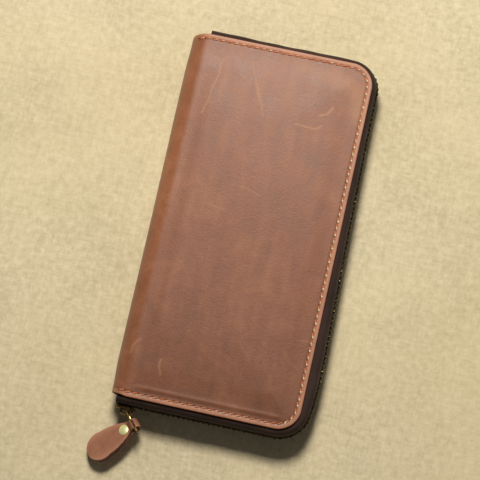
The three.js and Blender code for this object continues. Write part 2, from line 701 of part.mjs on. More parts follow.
// ---- Coin leaf ----
function addLeafPanels() {
  const low = MIDDLE_Z - LEAF_HALF_T;
  const high = MIDDLE_Z + LEAF_HALF_T;
  const half = LEAF_LENGTH / 2;
  const back = openSideRounded(LEAF_ROOT_X, LEAF_EDGE_X, half, LEAF_CORNER_R);
  addMesh('coin_panel_back', plate(back, low, low + LEAF_PANEL_T, 4), FINISH.innerLeather);
  const front = rectangle(LEAF_ROOT_X, COIN_ZIP_X - COIN_PANEL_EDGE, -half, half);
  addMesh('coin_panel_front', plate(front, high - LEAF_PANEL_T, high), FINISH.innerLeather);
  const edge = openSideRounded(COIN_ZIP_X + COIN_PANEL_EDGE, LEAF_EDGE_X, half, COIN_PANEL_EDGE - GAP);
  addMesh('coin_panel_edge', plate(edge, high - LEAF_PANEL_T, high, 4), FINISH.innerLeather);
}

function addCoinZip() {
  const half = COIN_ZIP_LENGTH / 2;
  const tapeTop = MIDDLE_Z + LEAF_HALF_T - LEAF_PANEL_T - GAP;
  const coilEnd = COIN_SLIDER_Y - COIN_SLIDER_LENGTH / 2 - GAP;
  const coilMiddle = tapeTop + COIN_TAPE_T / 2;
  for (const [name, way] of [['inner', -1], ['outer', 1]]) {
    const across = (a, b) => [COIN_ZIP_X + way * a, COIN_ZIP_X + way * b].sort((p, q) => p - q);
    const coil = across(CUT, CUT + COIN_COIL_WIDTH);
    const tape = across(CUT + COIN_COIL_WIDTH + GAP, COIN_TAPE_REACH);
    const strip = box(...tape, -half, half, tapeTop - COIN_TAPE_T, tapeTop);
    addMesh(`coin_zip_tape_${name}`, strip, FINISH.tape);
    const heights = [coilMiddle - COIN_COIL_T / 2, coilMiddle + COIN_COIL_T / 2];
    addMesh(`coin_zip_coil_${name}`, box(...coil, -half, coilEnd, ...heights), FINISH.tape);
  }
}

// Two plates joined by a post at the end that parts the coils, with a small arch for the puller
function addCoinSlider() {
  const half = COIN_SLIDER_LENGTH / 2;
  const x = span(COIN_ZIP_X, COIN_SLIDER_WIDTH / 2);
  const y = span(COIN_SLIDER_Y, half);
  const innerLow = MIDDLE_Z - LEAF_HALF_T + LEAF_PANEL_T + GAP;
  const outerLow = MIDDLE_Z + LEAF_HALF_T + COIN_PLATE_GAP;
  const top = outerLow + COIN_OUTER_PLATE_T;
  const crownTop = top + COIN_CROWN_HEIGHT;
  const holeHalf = COIN_CROWN_HALF - COIN_CROWN_WALL;
  const inner = box(...x, ...y, innerLow, innerLow + COIN_PLATE_T);
  const outer = box(...x, ...y, outerLow, top);
  const post = box(...span(COIN_ZIP_X, COIN_POST_HALF), y[1] - COIN_POST_LENGTH, y[1], innerLow, top);
  const arch = box(
    ...span(COIN_ZIP_X, COIN_CROWN_WIDTH / 2), ...span(COIN_SLIDER_Y, COIN_CROWN_HALF), outerLow, crownTop,
  );
  const hole = box(
    ...span(COIN_ZIP_X, COIN_CROWN_WIDTH), ...span(COIN_SLIDER_Y, holeHalf), top, crownTop - COIN_CROWN_WALL,
  );
  const plates = [inner, outer, post].map(toManifold).reduce((a, b) => a.add(b));
  const slider = plates.add(toManifold(arch).subtract(toManifold(hole)));
  addMesh('coin_zip_slider', toGeometry(slider), FINISH.teeth);
}

// A flat pull with a window at its top, which hangs on the coin slider's arch
function addCoinPuller() {
  const low = MIDDLE_Z + LEAF_HALF_T + 2 * COIN_PLATE_GAP + COIN_OUTER_PLATE_T;
  const half = COIN_PULL_WIDTH / 2;
  const shape = new THREE.Shape();
  shape.moveTo(-half, COIN_PULL_HEAD);
  shape.lineTo(-half, -COIN_PULL_LENGTH + half);
  shape.absarc(0, -COIN_PULL_LENGTH + half, half, Math.PI, 2 * Math.PI);
  shape.lineTo(half, COIN_PULL_HEAD);
  const { halfWidth, low: windowLow, high: windowHigh } = COIN_WINDOW;
  shape.holes.push(rectangle(-halfWidth, halfWidth, windowLow, windowHigh));
  const puller = plate(shape, low, low + COIN_PULL_T, 6).translate(COIN_ZIP_X, COIN_PIVOT_Y, 0);
  addMesh('coin_zip_puller', puller, FINISH.brass);
}

// ---- The whole wallet ----
addOuterLeather();
addSpineLining();
for (const side of ['back', 'front']) {
  addStiffener(side);
  addZipTape(side);
  addZipTeeth(side);
  addTopStop(side);
  addLining(side);
  for (const column of ['lower', 'upper']) {
    for (let row = 1; row <= POCKET_ROWS; row++) {
      addCardPocket(side, column, row);
    }
  }
}
addBottomStop();
addSlider();
addTab(addRing());
addLeafPanels();
addCoinZip();
addCoinSlider();
addCoinPuller();

export default object;
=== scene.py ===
"""Looks for a zip-around long wallet in waxed leather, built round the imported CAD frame.

Shapes are worked out in millimetres in the frame of the CAD and scaled to metres as each mesh is made.
The wallet lies on its back cover: +X runs from the spine to the opening side, +Z is its thickness.
"""

import json
import math

import bmesh
import bpy
import numpy as np
from mathutils import Matrix, Vector


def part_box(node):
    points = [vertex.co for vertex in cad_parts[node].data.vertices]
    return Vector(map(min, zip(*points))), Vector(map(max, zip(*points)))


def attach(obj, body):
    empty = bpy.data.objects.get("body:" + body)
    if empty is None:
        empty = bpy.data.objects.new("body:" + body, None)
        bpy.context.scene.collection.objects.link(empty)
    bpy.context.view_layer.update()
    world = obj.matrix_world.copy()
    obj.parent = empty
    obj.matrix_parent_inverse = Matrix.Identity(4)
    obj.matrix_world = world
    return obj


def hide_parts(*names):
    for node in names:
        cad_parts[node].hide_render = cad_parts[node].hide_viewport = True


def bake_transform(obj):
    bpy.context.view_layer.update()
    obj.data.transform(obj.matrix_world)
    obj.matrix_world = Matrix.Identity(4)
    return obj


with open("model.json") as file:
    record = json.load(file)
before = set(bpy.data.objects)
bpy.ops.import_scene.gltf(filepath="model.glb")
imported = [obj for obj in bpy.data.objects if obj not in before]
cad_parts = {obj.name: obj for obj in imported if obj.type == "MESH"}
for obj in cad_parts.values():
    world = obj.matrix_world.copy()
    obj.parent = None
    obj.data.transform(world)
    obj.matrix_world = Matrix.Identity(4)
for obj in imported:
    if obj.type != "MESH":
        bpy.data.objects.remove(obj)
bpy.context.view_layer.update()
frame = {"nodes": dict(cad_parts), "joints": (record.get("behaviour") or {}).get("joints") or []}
MM = 0.001


def box_mm(node):
    low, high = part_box(node)
    return np.array(low) / MM, np.array(high) / MM


# ---- Places read from the frame ----
_, COVER_HIGH = box_mm("front_cover_leather")
SPINE_LOW, _ = box_mm("spine_leather")
EDGE_X = COVER_HIGH[0]
HALF_LENGTH = COVER_HIGH[1]
THICKNESS = COVER_HIGH[2]
MIDDLE_Z = THICKNESS / 2
SPINE_X = SPINE_LOW[0]

# ---- Sizes of the leather ----
CORNER_R = 12.0
SPINE_CURVE = 9.0
FLAT_X = SPINE_X + SPINE_CURVE
SPINE_END_IN = 1.7
LEATHER_T = 1.6
CUT_ROUND = 0.42  # rounding of a cut edge
BACK_RELIEF_DROP = 0.62  # keeps the back's relief under the CAD face that it lies on
HINGE_X = -46.0
SPINE_LINING_HALF = 91.5

# ---- Sewing ----
STITCH_IN = 2.5
STITCH_PITCH = 3.6
STITCH_LENGTH = 3.15
THREAD_R = 0.46
STITCH_SLANT = 0.85
HOLE_R = 0.40
HOLE_DEPTH = 0.15
LINING_THREAD_R = 0.3
INNER_PITCH = 3.2
INNER_THREAD_R = 0.2

# ---- Zip ----
CHAIN_OUT = 3.0
TOOTH_PITCH = 2.65
TEETH_START_X = -34.7
TEETH_END_X = -35.4
TAPE_IN = 6.5
TAPE_T = 0.5
TAPE_UNDER = 2.15  # the tape's middle under the cover's outer face
TAPE_START_X = -44.8
TAPE_END_X = -39.0
TAPE_TUCK_X = -40.3  # nearer to the spine than this, the tape stays inside the covers' edge
TOOTH_HALF_WIDTH = 1.12
TOOTH_ROUND = 0.34
# how far the zip stands out of its even line along the top, and on the side as (Y, shift)
TOP_SHIFT = -0.4
TOP_TEETH_IN = 0.75  # the teeth sit farther in than the tape's bend along the top
ROW_STAGGER = 0.30  # the two rows of teeth, farther out and farther in where the zip leans
SIDE_SHIFT = (
    (-98, 0.3), (-87, 0.9), (-72, 2.0), (-56, 2.0), (-44, 1.7), (0, 0.5), (54, -0.7), (78, -1.0), (98, -0.8),
)

# ---- Tab ----
FOLD_R = 2.05
FOLD_RISE = 0.42
SLOPE = math.radians(13)
LAYER_T = 1.75
LAYER_MIDDLE = 0.975
PARTING_S = 5.2  # from here to the fold the two layers part round the wire
FOLD_HALF_T = 0.65  # the leather is pared down where it folds
CUT_R = 0.5  # rounding of the strip's cut edges
HEAD_S = 20.6
HEAD_R = 8.0
HEAD_JOIN = math.radians(104)
TAB_SIDES = ((-4, 2.9), (1.5, 2.9), (3.5, 3.7), (6, 4.8), (9.5, 6.1), (14, 7.2))
RIVET_S = 5.6
WIRE_R = 0.65
RING_GAP_AT = 0.9  # where round the ring its two ends meet, in radians

rng = np.random.default_rng(7)


# ---- Meshes ----
SHARP_EDGE = math.radians(28)


def smooth(t):
    t = np.clip(t, 0.0, 1.0)
    return t * t * (3 - 2 * t)


def bump(x, middle, width):
    return np.exp(-(((x - middle) / width) ** 2))


def circle(centre, u, v, count):
    """Points round an ellipse whose half axes are the vectors u and v."""
    angles = 2 * math.pi * np.arange(count)[:, None] / count
    return centre + u * np.cos(angles) + v * np.sin(angles)


def store_rest(mesh, points):
    """Keeps the places that a material's pattern follows, in millimetres."""
    data = mesh.attributes.new("rest", "FLOAT_VECTOR", "POINT").data
    data.foreach_set("vector", np.asarray(points, np.float32).ravel())


def link_object(name, data):
    obj = bpy.data.objects.new(name, data)
    bpy.context.scene.collection.objects.link(obj)
    return obj


def make_mesh(name, verts, faces, material, values=None, rest=None, sharp=None):
    """An object from vertices in millimetres. values are named numbers, one for each vertex."""
    verts = np.asarray(verts, float)
    mesh = bpy.data.meshes.new(name)
    mesh.from_pydata([tuple(v) for v in verts * MM], [], [tuple(f) for f in faces])
    store_rest(mesh, verts if rest is None else rest)
    for key, value in (values or {}).items():
        data = np.broadcast_to(np.asarray(value, np.float32), (len(verts),))
        mesh.attributes.new(key, "FLOAT", "POINT").data.foreach_set("value", np.ascontiguousarray(data))
    work = bmesh.new()
    work.from_mesh(mesh)
    bmesh.ops.recalc_face_normals(work, faces=work.faces)
    work.to_mesh(mesh)
    work.free()
    mesh.shade_smooth()
    if sharp is not None:
        mesh.set_sharp_from_angle(angle=math.radians(sharp))
    mesh.materials.append(material)
    return link_object(name, mesh)


class Parts:
    """Vertices and faces of many small solids gathered into one mesh."""

    def __init__(self):
        self.verts, self.faces, self.rest, self.values = [], [], [], {}
        self.count = 0

    def add(self, verts, faces, rest=None, **values):
        verts = np.asarray(verts, float)
        self.verts.append(verts)
        self.rest.append(verts if rest is None else np.asarray(rest, float))
        for key, value in values.items():
            self.values.setdefault(key, []).append(np.broadcast_to(np.asarray(value, float), (len(verts),)))
        self.faces.extend([[i + self.count for i in f] for f in faces])
        self.count += len(verts)

    def object(self, name, material, sharp=None):
        values = {k: np.concatenate(v) for k, v in self.values.items()}
        return make_mesh(
            name, np.concatenate(self.verts), self.faces, material, values, np.concatenate(self.rest), sharp
        )


def tube_faces(rings, around, closed=False, caps=True):
    """Faces between rings of vertices, each ring with the same count."""
    faces = []
    for i in range(rings if closed else rings - 1):
        a, b = i * around, ((i + 1) % rings) * around
        for k in range(around):
            n = (k + 1) % around
            faces.append([a + k, a + n, b + n, b + k])
    if caps and not closed:
        faces.append(list(range(around))[::-1])
        faces.append([(rings - 1) * around + k for k in range(around)])
    return faces


class Plan:
    """A panel's plan, rounded at its two corners on the high X side.

    Rings follow its three open sides at the given distances in from the edge, round a grid that fills
    the rest. The side at x0 is plain. xy holds the points and depth their distances from the edge."""

    def __init__(self, x0, x1, half, radius, offsets, step, arcs=6):
        self.x1, self.half, self.radius = x1, half, radius
        rows_straight = max(2, round((x1 - radius - x0) / step))
        cols = max(2, round(2 * (half - radius) / step))
        angles = np.linspace(0, math.pi / 2, arcs + 1)[1:]
        last = rows_straight + arcs

        def row(i, offset):
            r = max(radius - offset, 0.03)
            cx, cy = x1 - offset - r, half - offset - r
            if i <= rows_straight:
                return x0 + (cx - x0) * i / rows_straight, cy + r
            a = angles[i - rows_straight - 1]
            return cx + r * math.sin(a), cy + r * math.cos(a)

        def point(i, j, offset):
            x, h = row(i, offset)
            return x, h * (2 * j / cols - 1)

        loop = [(i, 0) for i in range(last + 1)]
        loop += [(last, j) for j in range(1, cols + 1)]
        loop += [(i, cols) for i in range(last - 1, -1, -1)]
        points, depth, self.faces = [], [], []
        for offset in offsets[:-1]:
            points += [point(i, j, offset) for i, j in loop]
            depth += [offset] * len(loop)
        inner = offsets[-1]
        index = {}
        for i in range(last + 1):
            for j in range(cols + 1):
                index[i, j] = len(points)
                x, y = point(i, j, inner)
                points.append((x, y))
                depth.append(max(inner, self.edge_distance(x, y)))
        rings = [[k * len(loop) + m for m in range(len(loop))] for k in range(len(offsets) - 1)]
        rings.append([index[p] for p in loop])
        for outer, inside in zip(rings, rings[1:]):
            for m in range(len(loop) - 1):
                self.faces.append([outer[m], outer[m + 1], inside[m + 1], inside[m]])
        for i in range(last):
            for j in range(cols):
                self.faces.append([index[i, j], index[i + 1, j], index[i + 1, j + 1], index[i, j + 1]])
        self.rim = rings[0]
        low_end, high_end = [r[0] for r in rings], [r[-1] for r in rings]
        self.root = low_end + [index[0, j] for j in range(1, cols)] + high_end[::-1]
        self.xy, self.depth = np.array(points), np.array(depth)

    def edge_distance(self, x, y):
        side, end = self.x1 - x, self.half - abs(y)
        if side < self.radius and end < self.radius:
            return self.radius - math.hypot(self.radius - side, self.radius - end)
        return min(side, end)

    def solid(self, upper, lower):
        """Faces and vertices of the closed panel between two surfaces given as points."""
        n = len(self.xy)
        faces = [list(f) for f in self.faces]
        faces += [[i + n for i in reversed(f)] for f in self.faces]
        for path in (self.rim, self.root):
            for a, b in zip(path, path[1:]):
                faces.append([a, b, b + n, a + n])
        return np.concatenate([upper, lower]), faces


def round_over(depth, radius):
    """How far a surface drops towards a rounded edge."""
    inside = np.clip(radius - depth, 0, radius)
    return radius - np.sqrt(np.maximum(radius**2 - inside**2, 0))


def three_sides(start_x, end_x, inset, pitch):
    """Stations at an even pitch along the covers' three open sides, at a distance in from the edge.

    Each is (x, y, outward x, outward y, distance along)."""
    cx, cy, r = EDGE_X - CORNER_R, HALF_LENGTH - CORNER_R, CORNER_R - inset
    arc = r * math.pi / 2
    first, side, last = cx - start_x, 2 * cy, cx - end_x
    total = first + arc + side + arc + last
    count = max(1, round(total / pitch))
    out = []
    for s in (np.arange(count + 1) * total / count):
        t = s
        if t < first:
            out.append((start_x + t, -cy - r, 0.0, -1.0, s))
            continue
        t -= first
        if t < arc:
            a = t / r
            out.append((cx + r * math.sin(a), -cy - r * math.cos(a), math.sin(a), -math.cos(a), s))
            continue
        t -= arc
        if t < side:
            out.append((cx + r, -cy + t, 1.0, 0.0, s))
            continue
        t -= side
        if t < arc:
            a = t / r
            out.append((cx + r * math.cos(a), cy + r * math.sin(a), math.cos(a), math.sin(a), s))
            continue
        out.append((cx - (t - arc), cy + r, 0.0, 1.0, s))
    return out


def refined(node, name, material, bevel, segments=2):
    """A CAD solid's shape again, with its sharp edges softened."""
    mesh = frame["nodes"][node].data.copy()
    mesh.name = name
    work = bmesh.new()
    work.from_mesh(mesh)
    bmesh.ops.remove_doubles(work, verts=work.verts, dist=2e-6)
    bmesh.ops.dissolve_limit(work, angle_limit=math.radians(2), verts=work.verts, edges=work.edges)
    edges = [e for e in work.edges if len(e.link_faces) == 2 and e.calc_face_angle(0) > SHARP_EDGE]
    shape = {"offset": bevel * MM, "segments": segments, "profile": 0.6}
    bmesh.ops.bevel(work, geom=edges, affect="EDGES", clamp_overlap=True, **shape)
    bmesh.ops.recalc_face_normals(work, faces=work.faces)
    work.to_mesh(mesh)
    work.free()
    mesh.shade_smooth()
    mesh.set_sharp_from_angle(angle=math.radians(40))
    co = np.zeros(len(mesh.vertices) * 3, np.float32)
    mesh.vertices.foreach_get("co", co)
    if "rest" in mesh.attributes:
        mesh.attributes.remove(mesh.attributes["rest"])
    store_rest(mesh, co / MM)
    mesh.materials.clear()
    mesh.materials.append(material)
    obj = link_object(name, mesh)
    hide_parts(node)
    return obj


# ---- Materials ----
def srgb(r, g, b):
    def linear(c):
        c /= 255
        return c / 12.92 if c <= 0.04045 else ((c + 0.055) / 1.055) ** 2.4

    return (linear(r), linear(g), linear(b), 1.0)


class Graph:
    """A material's nodes, with the pattern coordinates in millimetres."""

    def __init__(self, name, on_cad_node=False):
        self.material = bpy.data.materials.new(name)
        self.material.use_nodes = True
        self.tree = self.material.node_tree
        self.tree.nodes.clear()
        out = self.tree.nodes.new("ShaderNodeOutputMaterial")
        self.shader = self.tree.nodes.new("ShaderNodeBsdfPrincipled")
        self.link(self.shader.outputs[0], out.inputs[0])
        if on_cad_node:
            coords = self.tree.nodes.new("ShaderNodeTexCoord").outputs["Object"]
            self.place = self.vector("SCALE", coords, scale=1 / MM)
        else:
            self.place = self.attribute("rest", "Vector")

    def link(self, a, b):
        self.tree.links.new(a, b)

    def put(self, socket, value):
        """Links an output to the socket, or sets a plain value there."""
        if isinstance(value, bpy.types.NodeSocket):
            self.link(value, socket)
        elif value is not None:
            socket.default_value = value

    def node(self, kind, inputs, **settings):
        """A new node. Inputs are numbers, colours or other nodes' outputs, and None leaves one as it is."""
        node = self.tree.nodes.new("ShaderNode" + kind)
        for key, value in settings.items():
            setattr(node, key, value)
        for key, value in inputs.items():
            if value is not None:
                self.put(node.inputs[key], value)
        return node

    def attribute(self, name, output="Fac"):
        return self.node("Attribute", {}, attribute_name=name).outputs[output]

    def math(self, operation, a, b=None, clamp=False):
        return self.node("Math", {0: a, 1: b}, operation=operation, use_clamp=clamp).outputs[0]

    def vector(self, operation, a, b=None, scale=None):
        node = self.node("VectorMath", {0: a, 1: b, "Scale": scale}, operation=operation)
        return node.outputs["Value" if operation in ("LENGTH", "DOT_PRODUCT") else "Vector"]

    def stretch(self, scale, turn=0.0):
        inputs = {"Scale": scale, "Rotation": (0, 0, turn), "Vector": self.place}
        return self.node("Mapping", inputs).outputs[0]

    def noise(self, scale, detail=3.0, rough=0.55, distortion=0.0, place=None, output="Fac"):
        inputs = {"Scale": scale, "Detail": detail, "Roughness": rough, "Distortion": distortion}
        return self.node("TexNoise", {**inputs, "Vector": place or self.place}).outputs[output]

    def cells(self, scale, place=None):
        return self.node("TexVoronoi", {"Scale": scale, "Vector": place or self.place}).outputs["Distance"]

    def grain(self, scale, drift_scale, drift):
        """Leather's grain: cells drawn out of true."""
        shift = self.vector("SCALE", self.noise(drift_scale, 2, output="Color"), scale=drift)
        return self.cells(scale, place=self.vector("ADD", self.place, shift))

    def along_and_across(self):
        """The first two pattern coordinates."""
        outputs = self.node("SeparateXYZ", {0: self.place}).outputs
        return outputs[0], outputs[1]

    def remap(self, value, low, high, to_low=0.0, to_high=1.0, kind="LINEAR"):
        inputs = {"Value": value, "From Min": low, "From Max": high, "To Min": to_low, "To Max": to_high}
        return self.node("MapRange", inputs, interpolation_type=kind).outputs[0]

    def ramp(self, value, stops):
        node = self.node("ValToRGB", {0: value})
        elements = node.color_ramp.elements
        while len(elements) < len(stops):
            elements.new(0.5)
        for element, (position, colour) in zip(elements, stops):
            element.position, element.color = position, colour
        return node.outputs[0]

    def mix(self, share, a, b, blend="MIX"):
        return self.node("Mix", {0: share, 6: a, 7: b}, data_type="RGBA", blend_type=blend).outputs[2]

    def sum(self, *terms):
        """Adds (value, share) pairs."""
        total = None
        for value, share in terms:
            part = self.math("MULTIPLY", value, share)
            total = part if total is None else self.math("ADD", total, part)
        return total

    def finish(self, colour=None, rough=None, height=None, depth=0.1, strength=1.0, **settings):
        self.put(self.shader.inputs["Base Color"], colour)
        self.put(self.shader.inputs["Roughness"], rough)
        for key, value in settings.items():
            self.shader.inputs[key.replace("_", " ")].default_value = value
        if height is not None:
            bumps = self.node("Bump", {"Strength": strength, "Distance": depth * MM, "Height": height})
            self.link(bumps.outputs[0], self.shader.inputs["Normal"])
        return self.material


def near_line(g, a, b, width):
    """1 on the line from a to b on the cover, fading over the width."""
    start, along = np.array(a, float), np.array(b, float) - np.array(a, float)
    flat = g.vector("MULTIPLY", g.place, (1, 1, 0))
    drift = g.vector("SUBTRACT", g.noise(0.12, 2, output="Color"), (0.5, 0.5, 0.5))
    wobble = g.vector("SCALE", drift, scale=2.4)
    local = g.vector("SUBTRACT", g.vector("ADD", flat, wobble), (*start, 0))
    share = g.math("DIVIDE", g.vector("DOT_PRODUCT", local, (*along, 0)), float(along @ along), clamp=True)
    foot = g.vector("SCALE", (*along, 0), scale=share)
    away = g.vector("LENGTH", g.vector("MULTIPLY", g.vector("SUBTRACT", local, foot), (1, 1, 0)))
    return g.remap(away, 0, width, 1, 0, "SMOOTHSTEP")


# hairline scratches, long ones and short ones across them:
# pattern scale, turn, width, scale of their breaks, strength
SCRATCHES = (
    ((0.010, 0.16, 0.1), 1.35, 0.010, 0.05, 0.20),
    ((0.05, 0.35, 0.1), 0.35, 0.009, 0.11, 0.18),
)
# tone of rubbed marks, and of the painted highlight near the top corner
SCUFF_AND_HIGHLIGHT_TONE = srgb(216, 168, 122)
SPECK_TONE = srgb(70, 40, 30)
BENT_TONE = srgb(170, 88, 54)
# painted shade: the tone that darkens the leather towards the foot
PAINTED_FOOT_SHADE = (0.30, 0.26, 0.24, 1)


def waxed_leather(name, tones, rim, cut, scuffs_and_highlight=(), specks=(), shade_to_foot=0.0):
    """Oily pull-up leather: cloudy tones, lighter where hands wear it, with fine scratches. Painted light as
    well: a painted highlight on the lip of the crease over the foot, and painted shade in that crease.

    The scuffs given are (path, width, strength), one of them a wide painted highlight; specks are small dark
    spots; and the last argument sets painted shade that darkens it towards the foot."""
    g = Graph(name)
    clouds = g.noise(0.017, 3, 0.5, 0.6)
    mottle = g.noise(0.085, 5, 0.62, 0.8)
    fine = g.noise(0.7, 4, 0.6)
    streaks = g.noise(1.0, 3, 0.6, place=g.stretch((0.16, 0.03, 0.1)))
    tone = g.sum((clouds, 0.26), (mottle, 0.32), (fine, 0.18), (streaks, 0.24))
    colour = g.ramp(g.remap(tone, 0.33, 0.67), [(0.0, tones[0]), (0.5, tones[1]), (1.0, tones[2])])
    worn = g.remap(g.noise(0.030, 4, 0.6, 1.5), 0.54, 0.74, 0, 0.35)
    colour = g.mix(worn, colour, tones[2])
    marks = []
    for size, turn, width, breaks, share in SCRATCHES:
        lines = g.noise(1.0, 2, 0.5, 0.3, place=g.stretch(size, turn))
        line = g.remap(g.math("ABSOLUTE", g.math("SUBTRACT", lines, 0.5)), 0, width, 1, 0)
        broken = g.remap(g.noise(breaks, 2), 0.52, 0.62)
        marks.append(g.math("MULTIPLY", g.math("MULTIPLY", line, broken), share))
    scratches_and_highlight = g.math("MAXIMUM", *marks)
    # rubbed marks along paths, and one wide painted highlight
    for path, width, share in scuffs_and_highlight:
        for start, end in zip(path, path[1:]):
            scuff_and_highlight = g.math("MULTIPLY", near_line(g, start, end, width), share)
            scratches_and_highlight = g.math("MAXIMUM", scratches_and_highlight, scuff_and_highlight)
    shown = g.math("MULTIPLY", scratches_and_highlight, g.remap(mottle, 0.35, 0.6, 0.6, 1.0))
    colour = g.mix(shown, colour, g.mix(0.55, tones[2], SCUFF_AND_HIGHLIGHT_TONE))
    for spot in specks:
        dark = g.math("MULTIPLY", near_line(g, spot, (spot[0] + 0.4, spot[1] + 0.2), 0.75), 0.6)
        colour = g.mix(dark, colour, SPECK_TONE)
    # painted shade: darker towards the foot, which the light reaches less
    if shade_to_foot:
        shade_share = g.remap(g.along_and_across()[1], -HALF_LENGTH, 30, shade_to_foot, 0, "SMOOTHSTEP")
        colour = g.mix(shade_share, colour, PAINTED_FOOT_SHADE, "MULTIPLY")
    lines = g.remap(g.noise(1.0, 3, 0.6, place=g.stretch((0.5, 0.035, 0.1))), 0.44, 0.62)
    streaked = g.math("MULTIPLY", g.attribute("bent"), lines)
    colour = g.mix(streaked, colour, g.mix(0.5, tones[1], BENT_TONE))
    # rim also carries a painted highlight on the lip of the crease over the foot
    handled_and_highlight = g.math("MULTIPLY", g.attribute("rim"), g.remap(mottle, 0.30, 0.62, 0.6, 1.1), clamp=True)
    colour = g.mix(handled_and_highlight, colour, rim)
    # painted shade in the crease over the foot, with the real darker line just inside the stitches
    pressed_and_crease_shade = g.math("MULTIPLY", g.attribute("pressed_and_crease_shade"), 0.6, clamp=True)
    colour = g.mix(pressed_and_crease_shade, colour, g.mix(0.5, tones[0], tones[0], "MULTIPLY"))
    raw = g.mix(g.remap(g.noise(0.5, 4), 0.35, 0.65), cut, g.mix(0.5, cut, tones[0]))
    colour = g.mix(g.attribute("edge"), colour, raw)
    grain = g.grain(1.25, 0.6, 1.2)
    pores = g.remap(g.cells(2.6), 0.0, 0.25, 0.0, 1.0)
    height = g.sum((grain, 0.5), (fine, 0.5), (pores, 0.25), (scratches_and_highlight, -0.6), (mottle, 1.2))
    shine = g.sum((mottle, 0.14), (fine, 0.10), (scratches_and_highlight, 0.10))
    return g.finish(
        colour,
        g.math("ADD", shine, 0.33),
        height,
        depth=0.14,
        strength=0.45,
        Specular_IOR_Level=0.36,
        Sheen_Weight=0.03,
        Sheen_Roughness=0.5,
    )


def soft_leather(name, tones, cut):
    """Plain milled leather for the inside."""
    g = Graph(name)
    mottle = g.noise(0.11, 4, 0.6)
    fine = g.noise(0.9, 3)
    tone = g.sum((mottle, 0.7), (fine, 0.3))
    colour = g.ramp(g.remap(tone, 0.36, 0.64), [(0, tones[0]), (1, tones[1])])
    worn = g.math("MULTIPLY", g.attribute("rim"), 0.45)
    colour = g.mix(worn, colour, g.mix(0.6, tones[1], (1, 0.8, 0.6, 1)))
    colour = g.mix(g.attribute("edge"), colour, cut)
    grain = g.grain(1.0, 0.5, 1.4)
    height = g.sum((grain, 0.9), (fine, 0.4), (mottle, 0.6))
    return g.finish(colour, g.remap(mottle, 0.3, 0.7, 0.47, 0.65), height, 0.18, 0.6)


def cloth(name, dark, light, thread):
    """Woven tape or lining. Its coordinates run along and across the threads."""
    g = Graph(name)
    along, across = g.along_and_across()
    along = g.math("MULTIPLY", along, 2 * math.pi / thread)
    across = g.math("MULTIPLY", across, 2 * math.pi / (thread * 1.3))
    weft = g.math("SINE", g.math("ADD", across, g.math("MULTIPLY", along, 0.5)))
    warp = g.math("SINE", g.math("SUBTRACT", along, g.math("MULTIPLY", across, 0.25)))
    weave = g.math("MULTIPLY", weft, warp)
    fuzz = g.noise(3.0, 3)
    shade = g.sum((weave, 0.16), (fuzz, 0.5), (g.noise(0.06, 3), 0.5))
    colour = g.ramp(g.remap(shade, 0.25, 0.75), [(0, dark), (1, light)])
    height = g.sum((weave, 0.5), (fuzz, 0.5))
    return g.finish(
        colour, 0.85, height, 0.12, 0.8, Sheen_Weight=0.08, Sheen_Roughness=0.4, Specular_IOR_Level=0.2
    )


def thread_finish(name, dark, light):
    """Waxed twisted thread. Its coordinates run along the thread and round it."""
    g = Graph(name)
    along, around = g.along_and_across()
    ply = g.math("SINE", g.math("ADD", g.math("MULTIPLY", along, 5.2), g.math("MULTIPLY", around, 2.0)))
    tint = g.noise(0.35, 2)
    share = g.sum((g.remap(ply, -1, 1), 0.55), (tint, 0.7))
    colour = g.ramp(g.remap(share, 0.3, 0.95), [(0, dark), (1, light)])
    # painted highlight: a cream glint at one end of each stitch
    colour = g.mix(g.attribute("pale"), colour, srgb(250, 226, 184))
    # painted shade: the needle holes are coloured dark
    colour = g.mix(g.attribute("hole"), colour, srgb(58, 26, 16))
    rough = g.math("ADD", g.math("MULTIPLY", g.attribute("hole"), 0.4), 0.38)
    return g.finish(colour, rough, ply, 0.12, 0.9, Specular_IOR_Level=0.5)


def metal(name, dark, light, rough, worn=None, grime=0.5, metallic=1.0):
    """Plated metal with stains, wear and small scratches."""
    g = Graph(name)
    stain = g.noise(0.35, 4, 0.65)
    fine = g.noise(3.2, 3)
    lines = g.noise(1.0, 2, 0.6, place=g.stretch((0.5, 9.0, 4.0), 0.5))
    share = g.sum((stain, 0.6), (fine, 0.25), (lines, 0.15))
    colour = g.ramp(g.remap(share, 0.5 - grime * 0.25, 0.5 + grime * 0.25), [(0, dark), (1, light)])
    if worn is not None:
        colour = g.mix(g.remap(g.noise(0.9, 3, 0.6), 0.55, 0.66), colour, worn)
    roughness = g.remap(share, 0.35, 0.65, rough + 0.12, rough - 0.06)
    height = g.sum((fine, 0.6), (lines, 0.4))
    return g.finish(colour, roughness, height, 0.05, 0.35, Metallic=metallic)


def board_finish(name):
    """Grey pulp board, for the stiffeners that stay CAD pieces."""
    g = Graph(name, on_cad_node=True)
    pulp = g.noise(0.9, 5, 0.7)
    colour = g.ramp(pulp, [(0.3, srgb(128, 122, 108)), (0.7, srgb(160, 154, 138))])
    return g.finish(colour, 0.9, pulp, 0.1, 0.5)


COVER_TONES = (srgb(112, 66, 40), srgb(136, 82, 52), srgb(160, 104, 70))
RIM_TONE = srgb(192, 132, 100)
CUT_TONE = srgb(158, 98, 68)
